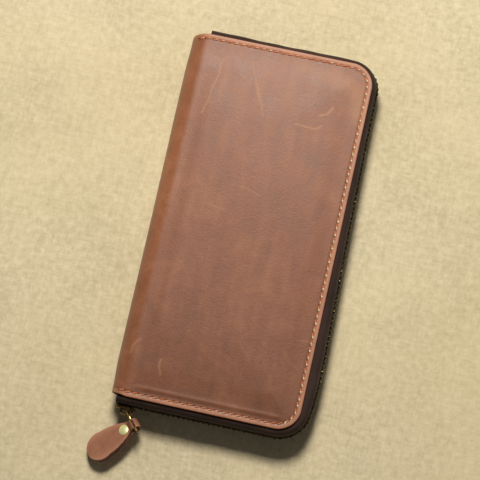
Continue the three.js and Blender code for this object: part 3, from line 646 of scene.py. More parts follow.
# where the front cover has been scuffed, and one wide painted highlight: a path, its width and strength
FRONT_SCUFFS_AND_HIGHLIGHT = (
    (((-13.9, 86.9), (-11.4, 79.7), (-7.7, 71.8), (-2.7, 59.8)), 0.9, 0.40),
    (((-10.6, 76.0), (-6.0, 66.3), (-4.0, 62.4)), 0.8, 0.34),
    (((-29.3, 85.1), (-31.5, 70.0), (-34.0, 55.2)), 0.8, 0.40),
    (((26.1, 65.9), (29.5, 67.8), (31.5, 71.9)), 1.0, 0.50),
    (((13.9, 59.2), (20.1, 59.0), (24.8, 58.9), (27.9, 61.2)), 0.9, 0.42),
    (((-6.6, 21.4), (4.5, 18.9)), 0.8, 0.25),
    (((-26.3, -75.0), (-26.6, -79.0), (-25.2, -82.1)), 1.1, 0.42),
    (((-42.6, -74.9), (-42.0, -70.6), (-38.9, -66.6)), 1.2, 0.42),
    # a painted highlight: a wide whitish haze inside the stitches near the top corner
    (((12.0, 90.0), (30.0, 87.5), (41.0, 82.0), (44.5, 70.0)), 7.5, 0.30),
)
FRONT_SPECKS = ((22.1, 71.3), (23.5, -65.4))
leather_front = waxed_leather(
    "waxed_leather_front", COVER_TONES, RIM_TONE, CUT_TONE, FRONT_SCUFFS_AND_HIGHLIGHT, FRONT_SPECKS, shade_to_foot=0.34
)
leather_back = waxed_leather("waxed_leather_back", COVER_TONES, RIM_TONE, CUT_TONE, shade_to_foot=0.34)
tab_leather = waxed_leather(
    "tab_leather",
    (srgb(130, 84, 62), srgb(148, 99, 75), srgb(164, 113, 89)),
    srgb(180, 128, 102),
    srgb(66, 28, 18),
)
inner_leather = soft_leather("inner_leather", (srgb(96, 54, 36), srgb(132, 80, 54)), srgb(60, 32, 22))
lining_cloth = cloth("lining_cloth", srgb(64, 46, 34), srgb(92, 70, 54), 0.7)
tape_cloth = cloth("tape_cloth", srgb(36, 25, 23), srgb(75, 55, 47), 0.62)
cover_thread = thread_finish("cover_thread", srgb(158, 74, 34), srgb(226, 138, 86))
inner_thread = thread_finish("inner_thread", srgb(120, 66, 38), srgb(196, 132, 88))
tooth_metal = metal("tooth_metal", srgb(34, 28, 18), srgb(96, 84, 50), 0.36, srgb(158, 142, 84))
slider_metal = metal("slider_metal", srgb(44, 34, 20), srgb(132, 104, 58), 0.32, srgb(196, 160, 92))
ring_metal = metal("ring_metal", srgb(122, 98, 50), srgb(206, 176, 108), 0.26, srgb(232, 206, 144))
rivet_metal = metal("rivet_metal", srgb(226, 220, 150), srgb(250, 248, 188), 0.42, grime=0.8, metallic=0.45)
coin_metal = metal("coin_metal", srgb(120, 96, 52), srgb(196, 166, 102), 0.28)
board = board_finish("stiffener_board")
coil_nylon = metal("coil_nylon", srgb(30, 22, 20), srgb(58, 44, 38), 0.45, metallic=0.0)


# ---- Outer leather ----
def ellipse_table():
    """Arc lengths and angles along a quarter of the spine's curve, from the flat to the middle."""
    angle = np.linspace(0, math.pi / 2, 400)
    x, z = SPINE_CURVE * np.sin(angle), MIDDLE_Z * np.cos(angle)
    length = np.concatenate([[0], np.cumsum(np.hypot(np.diff(x), np.diff(z)))])
    return length, angle


ARC_LENGTH, ARC_ANGLE = ellipse_table()
QUARTER = ARC_LENGTH[-1]


def skin_point(u, y, out, front):
    """A point of the outer leather. u is X on the flat and goes on round the spine's curve."""
    angle = np.interp(FLAT_X - u, ARC_LENGTH, ARC_ANGLE)
    angle = np.where(u > FLAT_X, 0.0, angle)
    x = np.where(u > FLAT_X, u, FLAT_X - SPINE_CURVE * np.sin(angle))
    z = MIDDLE_Z + MIDDLE_Z * np.cos(angle)
    nx, nz = -np.sin(angle) / SPINE_CURVE, np.cos(angle) / MIDDLE_Z
    size = np.hypot(nx, nz)
    drawn_in = 1 - SPINE_END_IN * np.clip(FLAT_X - x, 0, None) / (SPINE_CURVE + 1) / HALF_LENGTH
    point = np.stack([x + out * nx / size, y * drawn_in, z + out * nz / size], axis=-1)
    if not front:
        point[..., 2] = THICKNESS - point[..., 2]
    return point


def skin_relief(u, y, depth, front):
    """The leather's outer face over the CAD face: thin at the sewn edge, fuller over the board."""
    flat = smooth((u - FLAT_X - 2) / 8)
    edge = -0.35 + 0.48 * smooth((depth - 3.4) / 15)
    seam = -0.20 * bump(depth, STITCH_IN, 0.5) * smooth((u + 50) / 4)
    from_foot = y + HALF_LENGTH
    foot = flat * smooth((EDGE_X - 7 - u) / 5)
    crease = (0.08 * bump(from_foot, 6.2, 0.8) - 0.17 * bump(from_foot, 4.0, 0.9)) * foot
    crown = 0.42 * smooth((depth - 7) / 34) * flat
    waves = 0.13 * smooth(depth / 14) * (
        np.sin(u / 21 + 1.3 * np.sin(y / 33)) + np.sin(y / 27 + u / 38 + 0.8)
    )
    relief = edge + seam + crease + crown + waves
    return relief if front else relief - BACK_RELIEF_DROP * smooth((u - FLAT_X + QUARTER) / 10)


# distances in from the edge at which the hide has rings of vertices, closest where it is pressed and sewn
HIDE_RINGS = [
    0, 0.08, 0.22, 0.42, 0.8, 1.4, 1.9, 2.2, 2.45, 2.7, 2.95, 3.2,
    3.7, 4.4, 5.2, 5.8, 6.4, 7.0, 7.8, 8.8, 9.9, 11.2,
]


def outer_leather(side, material):
    """Half of the hide: one cover and its half of the spine."""
    front = side == "front"
    plan = Plan(FLAT_X - QUARTER, EDGE_X, HALF_LENGTH, CORNER_R, HIDE_RINGS, 1.6, 16)
    u, y, depth = plan.xy[:, 0], plan.xy[:, 1], plan.depth
    upper_out = skin_relief(u, y, depth, front) - round_over(depth, CUT_ROUND)
    lower_out = -LEATHER_T + round_over(depth, CUT_ROUND * 0.7)
    upper = skin_point(u, y, upper_out, front)
    lower = skin_point(u, y, np.broadcast_to(lower_out, u.shape), front)
    verts, faces = plan.solid(upper, lower)
    worn_edge = (1 - smooth((depth - 1.5) / 1.1)) * 0.66
    bend = smooth((FLAT_X + 3 - u) / 9) * 0.25
    rim = np.clip(np.maximum(worn_edge, bend), 0, 1)
    at_foot = smooth((u - FLAT_X) / 5) * smooth((EDGE_X - 8 - u) / 5)
    # painted shade in the crease over the foot, with the real darker line just inside the stitches
    pressed_and_crease_shade = 0.62 * bump(y + HALF_LENGTH, 4.4, 1.0) * at_foot + 0.35 * bump(depth, STITCH_IN + 0.8, 0.5)
    # painted highlight: a light line on the lip of the crease over the foot
    rim = np.maximum(rim, 0.20 * bump(y + HALF_LENGTH, 6.6, 0.45) * at_foot)
    bent = np.maximum(bump(u, FLAT_X - 0.5, 1.1), 0.6 * bump(u, FLAT_X - 6.0, 1.0)) * 0.20
    both = {
        "bent": np.concatenate([bent, bent * 0]),
        "rim": np.concatenate([rim, rim * 0]),
        "edge": np.concatenate([(depth < 0.1) * 1.0, np.ones(len(u)) * 0.6]),
        "pressed_and_crease_shade": np.concatenate([pressed_and_crease_shade, pressed_and_crease_shade * 0]),
    }
    # one hide: the pattern runs on round the spine from the front to the back
    laid_out = u if front else 2 * (FLAT_X - QUARTER) - u
    rest = np.stack([laid_out, y, u * 0], 1)
    rest = np.concatenate([rest, rest + (0, 0, 60)])
    obj = make_mesh(f"outer_leather_{side}", verts, faces, material, both, rest, 60)
    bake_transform(obj)
    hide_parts(f"{side}_cover_leather", "spine_leather")
    return obj


outer_leather("front", leather_front)
outer_leather("back", leather_back)


# ---- Sewing ----
def add_stitch(parts, centre, along, across, up, length, radius, slant, lift, index, pale=0.0):
    """One stitch: a short twisted cord whose two ends go down into their holes."""
    steps, around = 9, 7
    verts, rest, tint = [], [], []
    for k in range(steps):
        t = 2 * k / (steps - 1) - 1
        rise = lift * (1 - abs(t) ** 2.6) - radius * 0.55
        middle = centre + along * (t * length / 2) + across * (t * slant / 2) + up * rise
        size = radius * (0.55 + 0.45 * math.sqrt(max(0.0, 1 - abs(t) ** 3)))
        verts.extend(circle(middle, across * size, up * (size * 0.9), around))
        rest += [(index * 9.1 + t * length / 2, 2 * math.pi * m / around, index % 5) for m in range(around)]
        # painted highlight: the glint rises towards one end of the stitch
        tint += [pale * smooth((0.62 - abs(t + 0.45)) / 0.4)] * around
    parts.add(verts, tube_faces(steps, around), rest, hole=0.0, pale=np.array(tint))
    # dark discs in the needle holes, painted shade
    for end in (-1, 1):
        spot = centre + along * (end * (length / 2 + 0.12)) + across * (end * slant / 2) + up * 0.03
        ring = circle(spot, along * HOLE_R, across * (HOLE_R * 0.8), 8)
        faces = [[m, (m + 1) % 8, 8] for m in range(8)] + [list(range(8))[::-1]]
        parts.add([*ring, spot - up * HOLE_DEPTH], faces, hole=1.0, pale=0.0)


def sew_cover(side):
    """The row of stitches near the edge of one cover, and the same row inside on the lining."""
    front = side == "front"
    parts, inside = Parts(), Parts()
    way = 1.0 if front else -1.0
    stations = three_sides(HINGE_X + 1.2, HINGE_X + 1.2, STITCH_IN, STITCH_PITCH)
    for n, (a, b) in enumerate(zip(stations, stations[1:])):
        x, y = (a[0] + b[0]) / 2, (a[1] + b[1]) / 2
        out = np.array([a[2] + b[2], a[3] + b[3]]) / 2
        out /= np.linalg.norm(out)
        round_spine = np.interp(FLAT_X - x, SPINE_CURVE * np.sin(ARC_ANGLE), ARC_LENGTH)
        u = np.array([x if x > FLAT_X else FLAT_X - round_spine])
        relief = skin_relief(u, np.array([y]), np.array([STITCH_IN]), front)
        centre = skin_point(u, np.array([y]), relief, front)[0]
        up = skin_point(u, np.array([y]), relief + 1, front)[0] - centre
        up /= np.linalg.norm(up)
        across = np.array([out[0], out[1], 0.0])
        across -= up * (across @ up)
        across /= np.linalg.norm(across)
        along = np.cross(up, across) * way
        jitter = rng.normal(0, 0.06, 3)
        # painted highlight: the glint is strongest on the side whose edge faces +X
        pale = np.clip(0.25 + 0.75 * smooth(out[0]) + 3 * jitter[2], 0, 1)
        add_stitch(parts, centre, along, across, up, STITCH_LENGTH + jitter[0], THREAD_R,
                   -STITCH_SLANT * (1 + jitter[1]), 0.5, n, pale)
        if x > FLAT_X + 2:
            low, high = box_mm(f"{side}_lining")
            z = low[2] if front else high[2]
            normal = np.array([0, 0, -way])
            add_stitch(inside, np.array([x, y, z + 0.02 * -way]), along, across, normal, STITCH_LENGTH,
                       LINING_THREAD_R, STITCH_SLANT, 0.3, n)
    for name, group, slot in (("cover", parts, "cover_leather"), ("lining", inside, "lining")):
        obj = group.object(f"{side}_{name}_stitches", cover_thread if name == "cover" else inner_thread)
        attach(obj, side)


sew_cover("front")
sew_cover("back")


# ---- Outer zip ----
def tape_path():
    """The tape's section, as points (outward from the covers' edge, height over the middle plane)."""
    flat = MIDDLE_Z - TAPE_UNDER
    points = [(-TAPE_IN, flat), (-3.0, flat), (-0.8, flat)]
    bend = ((-0.8, flat), (2.3, flat), (CHAIN_OUT + 0.15, 8.4), (CHAIN_OUT, 2.6))
    p0, p1, p2, p3 = (np.array(p) for p in bend)
    for t in np.linspace(0, 1, 15)[1:]:
        r = 1 - t
        points.append(tuple(r**3 * p0 + 3 * r**2 * t * p1 + 3 * r * t**2 * p2 + t**3 * p3))
    return np.array(points)


def chain_shift(x, y, out_x, out_y):
    """How far the soft zip leans out of, or in under, the covers at a point of the edge."""
    heights, shifts = zip(*SIDE_SHIFT)
    aside = np.interp(y, heights, shifts)
    end = TOP_SHIFT * smooth((x + 36) / 24) if y > 0 else 0.0
    share = smooth(abs(out_x))
    return aside * share + end * (1 - share)


def zip_tape(side):
    """One cloth tape, swept round three sides from inside the cover out to the chain."""
    way = 1 if side == "front" else -1
    path = tape_path()
    travel = np.concatenate([[0], np.cumsum(np.hypot(*np.diff(path, axis=0).T))])
    tangent = np.gradient(path, axis=0)
    tangent /= np.linalg.norm(tangent, axis=1)[:, None]
    normal = np.stack([-tangent[:, 1], tangent[:, 0]], 1)
    half = TAPE_T / 2
    section = np.concatenate([path + normal * half, (path - normal * half)[::-1]])
    across = np.concatenate([travel, travel[::-1]])
    stations = three_sides(TAPE_START_X, TAPE_END_X, 0.0, 2.0)
    verts, rest = [], []
    n = len(path)
    visible = smooth((travel - 5.5) / 3) * (1 - smooth((travel - travel[-1] + 4) / 3))
    ripple_share = np.concatenate([visible, visible[::-1]])
    normals = np.concatenate([normal, normal[::-1]])
    lean = np.concatenate([smooth((travel - 3.0) / 5.5), smooth((travel[::-1] - 3.0) / 5.5)])
    for x, y, ox, oy, s in stations:
        shift = chain_shift(x, y, ox, oy)
        ripple = 0.10 * math.sin(s / 2.9 + 0.7 * math.sin(s / 13)) + 0.07 * math.sin(s / 6.1 + 1.3)
        tucked = x < TAPE_TUCK_X
        for k in range(2 * n):
            off, height = section[k] + normals[k] * ripple * ripple_share[k]
            off += shift * lean[k]
            if tucked:
                off = max(off, 0.45)
            verts.append((x + ox * off, y + oy * off, MIDDLE_Z + way * height))
            rest.append((s, across[k], way * 30))
    obj = make_mesh(
        f"{side}_tape", verts, tube_faces(len(stations), 2 * n), tape_cloth, None, rest, 60
    )
    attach(obj, side)
    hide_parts(f"{side}_zip_tape")


TOOTH_PROFILE = [  # half of a tooth: (along the chain, height towards its own tape)
    (0.30, 2.62), (0.52, 2.44), (0.58, 2.0), (0.56, 1.5), (0.40, 1.05), (0.38, 0.45), (0.56, 0.1),
    (0.60, -0.35), (0.50, -0.72), (0.22, -0.9),
]


def add_tooth(parts, centre, along, out, up, profile, half_width, rounding):
    """A solid with the given profile, rounded at its two faces."""
    ring = [(a, h) for a, h in profile] + [(-a, h) for a, h in reversed(profile)]
    middle_h = sum(h for _, h in ring) / len(ring)
    near, mid = half_width - rounding, half_width - rounding * 0.35
    levels = ((-half_width, 0.62), (-mid, 0.88), (-near, 1.0), (near, 1.0), (mid, 0.88), (half_width, 0.62))
    verts = []
    for offset, size in levels:
        for a, h in ring:
            shrink = middle_h + (h - middle_h) * (1 - (1 - size) * 0.35)
            verts.append(centre + out * offset + along * (a * size) + up * shrink)
    parts.add(verts, tube_faces(len(levels), len(ring)))


def zip_teeth(side):
    """One row of teeth, every second place along the chain."""
    way = 1 if side == "front" else -1
    parts = Parts()
    stations = three_sides(TEETH_START_X, TEETH_END_X, -CHAIN_OUT, TOOTH_PITCH / 2)
    up = np.array([0, 0, way], float)
    first = 0 if side == "front" else 1
    row_shift = ROW_STAGGER if side == "front" else -ROW_STAGGER
    for x, y, ox, oy, _ in stations[first + 1 : -1 : 2]:
        out = np.array([ox, oy, 0.0])
        along = np.cross(up, out)
        at_top = (1 - smooth((ox - 0.3) / 0.7)) * (y > 0)
        lower = 1 - 0.65 * smooth((y - 5) / 50)
        stagger = row_shift * smooth((x + 30) / 8) * (1 - at_top) * lower
        tucked = TOP_TEETH_IN * at_top * smooth((x + 30) / 14)
        tilt = rng.normal(0, 0.02) + chain_shift(x, y, ox, oy) + stagger - tucked
        centre = np.array([x, y, MIDDLE_Z]) + out * tilt
        add_tooth(parts, centre, along, out, up, TOOTH_PROFILE, TOOTH_HALF_WIDTH, TOOTH_ROUND)
    obj = parts.object(f"{side}_teeth", tooth_metal, 50)
    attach(obj, side)
    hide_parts(f"{side}_zip_teeth")


for side in ("front", "back"):
    zip_tape(side)
    zip_teeth(side)
for node, name, body, bevel, segments in (
    ("front_top_stop", "front_stop", "front", 0.3, 2),
    ("back_top_stop", "back_stop", "back", 0.3, 2),
    ("zip_bottom_stop", "bottom_stop", "back", 0.4, 2),
    ("zip_slider", "slider_body", "slider", 0.28, 3),
):
    obj = refined(node, name, slider_metal, bevel, segments)
    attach(obj, body)


# ---- Ring, tab and rivet ----
swing = next(j for j in frame["joints"] if j["name"] == "tab_swing")
FOLD_AT = np.array(swing["pos_m"]) / MM
ACROSS = -np.array(swing["axis"])
RING_LOW, RING_HIGH = box_mm("pull_ring")
RING_AT = (RING_LOW + RING_HIGH) / 2
TO_FOLD = float(np.linalg.norm(FOLD_AT - RING_AT))
RING_DOWN = (FOLD_AT - RING_AT) / TO_FOLD
RING_R = TO_FOLD + FOLD_RISE
RING_AXIS = np.cross(ACROSS, RING_DOWN)
RING_AXIS /= np.linalg.norm(RING_AXIS)


def pull_ring():
    """A bent wire ring whose two ends meet at a fine joint."""
    around, steps = 14, 72
    verts, rest = [], []
    for k in range(steps):
        a = RING_GAP_AT + 0.02 + (2 * math.pi - 0.04) * k / (steps - 1)
        radial = ACROSS * math.cos(a) + RING_DOWN * math.sin(a)
        centre = RING_AT + radial * RING_R
        size = WIRE_R * (0.86 if k in (0, steps - 1) else 1.0)
        verts.extend(circle(centre, radial * size, RING_AXIS * size, around))
        rest += [(a * RING_R, 2 * math.pi * m / around * WIRE_R, 0) for m in range(around)]
    obj = make_mesh("ring_wire", verts, tube_faces(steps, around), ring_metal, None, rest, 50)
    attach(obj, "ring")
    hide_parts("pull_ring")


pull_ring()

rivet_low, rivet_high = box_mm("tab_rivet")
RIVET_AT = (rivet_low + rivet_high) / 2
to_rivet = RIVET_AT - FOLD_AT
to_rivet -= ACROSS * (to_rivet @ ACROSS)
if RING_AXIS @ to_rivet < 0:
    RING_AXIS = -RING_AXIS
ALONG = RING_AXIS * math.cos(SLOPE) + RING_DOWN * math.sin(SLOPE)
UPWARD = np.cross(ALONG, ACROSS)
UPWARD /= np.linalg.norm(UPWARD)


def tab_half_width(s):
    """Half the tab's width at a distance from its fold."""
    s_joint = HEAD_S + HEAD_R * math.cos(HEAD_JOIN)
    known_s, known_w = (list(v) for v in zip(*TAB_SIDES, (s_joint, HEAD_R * math.sin(HEAD_JOIN))))
    if s >= s_joint:
        return math.sqrt(max(HEAD_R**2 - (s - HEAD_S) ** 2, 0.0))
    # a smooth line through the known widths
    i = min(max(np.searchsorted(known_s, s) - 1, 0), len(known_s) - 2)
    slopes = np.gradient(known_w, known_s)
    slopes[0] = slopes[1] = 0.0
    slopes[-1] = -math.cos(HEAD_JOIN) / math.sin(HEAD_JOIN)
    h = known_s[i + 1] - known_s[i]
    t = (s - known_s[i]) / h
    return float(
        (2 * t**3 - 3 * t**2 + 1) * known_w[i] + (t**3 - 2 * t**2 + t) * h * slopes[i]
        + (3 * t**2 - 2 * t**3) * known_w[i + 1] + (t**3 - t**2) * h * slopes[i + 1]
    )


def leather_tab():
    """One strip of leather, folded round the ring, whose two round-ended layers lie together."""
    tip = HEAD_S + HEAD_R
    ease = 1 - np.cos(np.linspace(0, math.pi / 2, 22))
    outer = [tip - 0.004 - (tip - HEAD_S) * e for e in ease]
    inner = list(np.linspace(HEAD_S, PARTING_S, 24)[1:])
    stations = [(s, LAYER_MIDDLE) for s in outer + inner]
    thicker = FOLD_R - LAYER_MIDDLE
    bend = [(s, LAYER_MIDDLE + thicker * smooth(1 - s / PARTING_S)) for s in (4.2, 3.2, 2.2, 1.2)]
    curve = [(-FOLD_R * math.sin(a), FOLD_R * math.cos(a)) for a in np.linspace(0.0, math.pi, 14)]
    upper = stations + bend
    path = np.array(upper + curve + [(s, -h) for s, h in reversed(upper)])
    tangent = np.gradient(path, axis=0)
    tangent /= np.linalg.norm(tangent, axis=1)[:, None]
    verts, rest, edge, rim = [], [], [], []
    corner = np.linspace(0, math.pi / 2, 4)
    travel = 0.0
    for k, ((s, h), (ts, th)) in enumerate(zip(path, tangent)):
        if k:
            travel += float(np.linalg.norm(path[k] - path[k - 1]))
        width = max(tab_half_width(max(s, -4)), 0.06)
        folded = smooth((4.5 - s) / 4)
        half = (LAYER_T / 2) * (1 - folded) + FOLD_HALF_T * folded
        near_tip = np.clip(CUT_R - (tip - s), 0, CUT_R)
        half = max(half - (CUT_R - math.sqrt(CUT_R**2 - near_tip**2)), 0.2)
        r = min(CUT_R, width * 0.9, half * 0.8)
        # outer side is the one away from the other layer
        outline = []
        for sx, sy, turn in ((1, 1, 0), (-1, 1, 1), (-1, -1, 0), (1, -1, 1)):
            arc = corner if not turn else corner[::-1]
            for a in arc:
                outline.append((sx * (width - r + r * math.cos(a)), sy * (half - r + r * math.sin(a)), a))
        side = ALONG * th - UPWARD * ts
        middle = FOLD_AT + ALONG * s + UPWARD * h
        for x, z, a in outline:
            verts.append(middle + ACROSS * x + side * z)
            rest.append((travel, x, 200 + z))
            edge.append(1.0 if a < 0.8 else 0.0)
            rim.append(0.75)
    around = 16
    # a middle rib on each broad face, so that the rim tone stays near the edge
    verts, rest = np.array(verts).reshape(-1, around, 3), np.array(rest).reshape(-1, around, 3)
    edge, rim = np.array(edge).reshape(-1, around), np.array(rim).reshape(-1, around)

    def insert(array, values):
        """Adds points across both broad faces of each ring, between its rounded corners."""
        first, second = values
        return np.concatenate([array[:, :4], first, array[:, 4:12], second, array[:, 12:]], axis=1)

    def spread(array, shares):
        a = [array[:, 3:4] * (1 - t) + array[:, 4:5] * t for t in shares]
        b = [array[:, 11:12] * (1 - t) + array[:, 12:13] * t for t in shares]
        return np.concatenate(a, 1), np.concatenate(b, 1)

    shares = (0.07, 0.2, 0.5, 0.8, 0.93)
    verts_all = insert(verts, spread(verts, shares))
    rest_all = insert(rest, spread(rest, shares))
    zero = np.zeros((len(verts), len(shares)))
    edge_all = insert(edge, (zero, zero))
    rim_mid = np.array([0.45, 0.06, 0.0, 0.06, 0.45])[None, :].repeat(len(verts), 0)
    rim_all = insert(rim, (rim_mid, rim_mid))
    count = around + 2 * len(shares)
    obj = make_mesh(
        "leather_tab",
        verts_all.reshape(-1, 3),
        tube_faces(len(path), count),
        tab_leather,
        {"edge": edge_all.ravel(), "rim": rim_all.ravel(), "pressed_and_crease_shade": 0.0, "bent": 0.0},
        rest_all.reshape(-1, 3),
        60,
    )
    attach(obj, "tab")
    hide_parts("pull_tab")


leather_tab()


def rivet():
    """A low domed rivet head above the tab, its post and the flat cap below."""
    top = LAYER_MIDDLE + LAYER_T / 2
    above = ((0.0, 0.92), (0.9, 0.88), (1.7, 0.72), (2.3, 0.50), (2.62, 0.32), (2.86, 0.20), (2.92, 0.08),
             (2.84, -0.04), (1.2, -0.1))
    below = ((1.2, 0.1), (2.5, 0.02), (2.75, -0.1), (2.7, -0.34), (2.3, -0.5), (0.0, -0.54))
    profile = [(r, top + h) for r, h in above] + [(r, h - top) for r, h in below]
    centre = FOLD_AT + ALONG * RIVET_S
    around = 40
    verts = []
    for r, h in profile:
        r = max(r, 0.02)
        verts.extend(circle(centre + UPWARD * h, ALONG * r, ACROSS * r, around))
    obj = make_mesh("rivet_head", verts, tube_faces(len(profile), around), rivet_metal, sharp=45)
    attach(obj, "tab")
    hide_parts("tab_rivet")


rivet()


# ---- Inside the covers ----
def panel(node, name, material, body, radius, seen, offsets, step, crease=1.9, crown=0.0):
    """A soft panel in the place of a CAD plate. seen is the side that shows, 1 for up and -1 for down."""
    low, high = box_mm(node)
    middle = (low[1] + high[1]) / 2
    half = (high[1] - low[1]) / 2
    plan = Plan(low[0], high[0], half, radius, offsets, step, 5)
    x, y, depth = plan.xy[:, 0], plan.xy[:, 1], plan.depth
    half_t = (high[2] - low[2]) / 2
    rounding = min(0.2, half_t * 0.8)
    drop = round_over(depth, rounding)
    groove = 0.14 * bump(depth, crease, 0.22) if crease else 0 * depth
    swell = crown * smooth(depth / 12)
    wave = 0.03 * np.sin(x / 9 + y / 13) * smooth(depth / 4)
    face = half_t - drop - groove + swell + wave
    plain = half_t - drop
    z = (low[2] + high[2]) / 2
    up, down = (face, plain) if seen > 0 else (plain, face)
    upper = np.stack([x, y + middle, z + up], 1)
    lower = np.stack([x, y + middle, z - down], 1)
    verts, faces = plan.solid(upper, lower)
    rim = np.exp(-((depth / 0.8) ** 2)) * 0.7
    edge = (depth < 0.06) * 1.0
    shift = rng.uniform(0, 300)
    flat_rest = np.stack([x + shift, y + middle, x * 0], 1)
    obj = make_mesh(
        name, verts, faces, material,
        {"rim": np.concatenate([rim, rim]), "edge": np.concatenate([edge, edge])},
        np.concatenate([flat_rest, flat_rest + (0, 0, 20)]),
    )
    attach(obj, body)
    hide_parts(node)
    return obj


def row_of_stitches(parts, start, end, normal):
    """A straight row of fine stitches on the inside."""
    start, end, normal = np.array(start, float), np.array(end, float), np.array(normal, float)
    length = float(np.linalg.norm(end - start))
    along = (end - start) / length
    across = np.cross(normal, along)
    count = max(1, round(length / INNER_PITCH))
    size = length / count * 0.78
    for n in range(count):
        centre = start + along * (length * (n + 0.5) / count)
        add_stitch(parts, centre, along, across, normal, size, INNER_THREAD_R, 0.1, 0.22, n)


PANEL_RINGS = [0, 0.06, 0.2, 0.6, 1.3, 1.65, 1.9, 2.15, 2.6, 3.4]
for side in ("back", "front"):
    seen = 1 if side == "back" else -1
    panel(f"{side}_lining", f"{side}_lining_cloth", lining_cloth, side, CORNER_R - 1.5, seen,
          [0, 0.06, 0.2, 0.6, 1.4, 3.0], 4.0, crease=None)
    for column in ("lower", "upper"):
        sewing = Parts()
        rows = []
        for row in (1, 2, 3):
            node = f"{side}_card_pocket_{column}_{row}"
            panel(node, f"{side}_pocket_{column}_{row}", inner_leather, side, 2.0, seen,
                  PANEL_RINGS, 4.0)
            rows.append(box_mm(node))
        last_x = rows[0][0][0] + 2
        for low, high in rows:
            z = high[2] if seen > 0 else low[2]
            for y in (low[1] + 3.4, high[1] - 3.4):
                row_of_stitches(sewing, (last_x, y, z), (high[0] - 2.2, y, z), (0, 0, seen))
            last_x = high[0] + 1
        obj = sewing.object(f"{side}_{column}_pocket_stitches", inner_thread)
        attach(obj, side)
    stiffener = frame["nodes"][f"{side}_stiffener"]
    stiffener.data.materials.clear()
    stiffener.data.materials.append(board)


def spine_cloth(side):
    """The lining's strip across one hinge, from under the cover's lining to the spine's middle."""
    front = side == "front"
    u = np.concatenate([[FLAT_X - 0.6], np.linspace(FLAT_X - 1.5, FLAT_X - QUARTER, 22)])
    y = np.linspace(-SPINE_LINING_HALF, SPINE_LINING_HALF, 60)
    grid_u, grid_y = (g.ravel() for g in np.meshgrid(u, y, indexing="ij"))
    top = skin_point(grid_u, grid_y, np.full(grid_u.shape, -LEATHER_T - 0.3), front)
    low = skin_point(grid_u, grid_y, np.full(grid_u.shape, -LEATHER_T - 0.85), front)
    rows, cols, n = len(u), len(y), len(grid_u)
    faces = []
    for i in range(rows - 1):
        for j in range(cols - 1):
            a, b, c, d = i * cols + j, (i + 1) * cols + j, (i + 1) * cols + j + 1, i * cols + j + 1
            faces += [[a, b, c, d], [a + n, d + n, c + n, b + n]]
    loop = [i * cols for i in range(rows)] + [(rows - 1) * cols + j for j in range(1, cols)]
    loop += [i * cols + cols - 1 for i in range(rows - 2, -1, -1)] + [j for j in range(cols - 2, 0, -1)]
    for a, b in zip(loop, loop[1:] + loop[:1]):
        faces.append([b, a, a + n, b + n])
    rest = np.stack([grid_u, grid_y, grid_u * 0], 1)
    obj = make_mesh(f"spine_cloth_{side}", np.concatenate([top, low]), faces, lining_cloth,
                    None, np.concatenate([rest, rest]))
    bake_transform(obj)
    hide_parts("spine_lining")


spine_cloth("front")
spine_cloth("back")

# ---- Coin leaf ----
for node, name, radius, seen in (
    ("coin_panel_back", "coin_leaf_back", 5.0, -1),
    ("coin_panel_front", "coin_leaf_front", 0.4, 1),
):
    panel(node, name, inner_leather, "coin_leaf", radius, seen, PANEL_RINGS, 4.0, crown=0.12)
panel("coin_panel_edge", "coin_leaf_edge", inner_leather, "coin_leaf", 4.0, 1,
      [0, 0.06, 0.2, 0.6, 1.0, 1.4], 2.0, crease=0.9)
for which in ("inner", "outer"):
    panel(f"coin_zip_tape_{which}", f"coin_tape_{which}", tape_cloth, "coin_leaf", 0.2, 1,
          [0, 0.06, 0.2, 0.6], 2.0, crease=None)

leaf_sewing = Parts()
for node, at_high in (("coin_panel_front", True), ("coin_panel_edge", False)):
    low, high = box_mm(node)
    x = high[0] - 1.0 if at_high else low[0] + 1.0
    row_of_stitches(leaf_sewing, (x, low[1] + 4, high[2]), (x, high[1] - 4, high[2]), (0, 0, 1))
for node, short, up in (("coin_panel_front", 3, 1), ("coin_panel_back", 6, -1)):
    low, high = box_mm(node)
    z = high[2] if up > 0 else low[2]
    for y in (low[1] + 3.2, high[1] - 3.2):
        row_of_stitches(leaf_sewing, (low[0] + 3, y, z), (high[0] - short, y, z), (0, 0, up))
x = high[0] - 2.6
row_of_stitches(leaf_sewing, (x, low[1] + 6, low[2]), (x, high[1] - 6, low[2]), (0, 0, -1))
leaf_stitches = leaf_sewing.object("coin_leaf_stitches", inner_thread)
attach(leaf_stitches, "coin_leaf")

COIL_PITCH = 1.3
COIL_PROFILE = [(0.12, 0.62), (0.3, 0.44), (0.36, 0.0), (0.3, -0.44), (0.12, -0.62)]
COIL_HALF_WIDTH = 0.66
COIL_ROUND = 0.30
COIL_LEAN = 0.16  # of each row towards the other
for which, way in (("inner", -1), ("outer", 1)):
    low, high = box_mm(f"coin_zip_coil_{which}")
    middle_x, middle_z = (low[0] + high[0]) / 2, (low[2] + high[2]) / 2
    coils = Parts()
    y = low[1] + 0.6 + (COIL_PITCH / 2 if way > 0 else 0)
    while y < high[1] - 0.5:
        centre = np.array([middle_x - way * COIL_LEAN, y, middle_z])
        out, along, up = np.eye(3)
        add_tooth(coils, centre, along, out, up, COIL_PROFILE, COIL_HALF_WIDTH, COIL_ROUND)
        y += COIL_PITCH
    coil = coils.object(f"coin_coil_{which}", coil_nylon, 60)
    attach(coil, "coin_leaf")
    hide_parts(f"coin_zip_coil_{which}")

for node, name, body, bevel in (
    ("coin_zip_slider", "coin_slider_body", "coin_slider", 0.14),
    ("coin_zip_puller", "coin_pull", "coin_puller", 0.16),
):
    obj = refined(node, name, coin_metal, bevel)
    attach(obj, body)


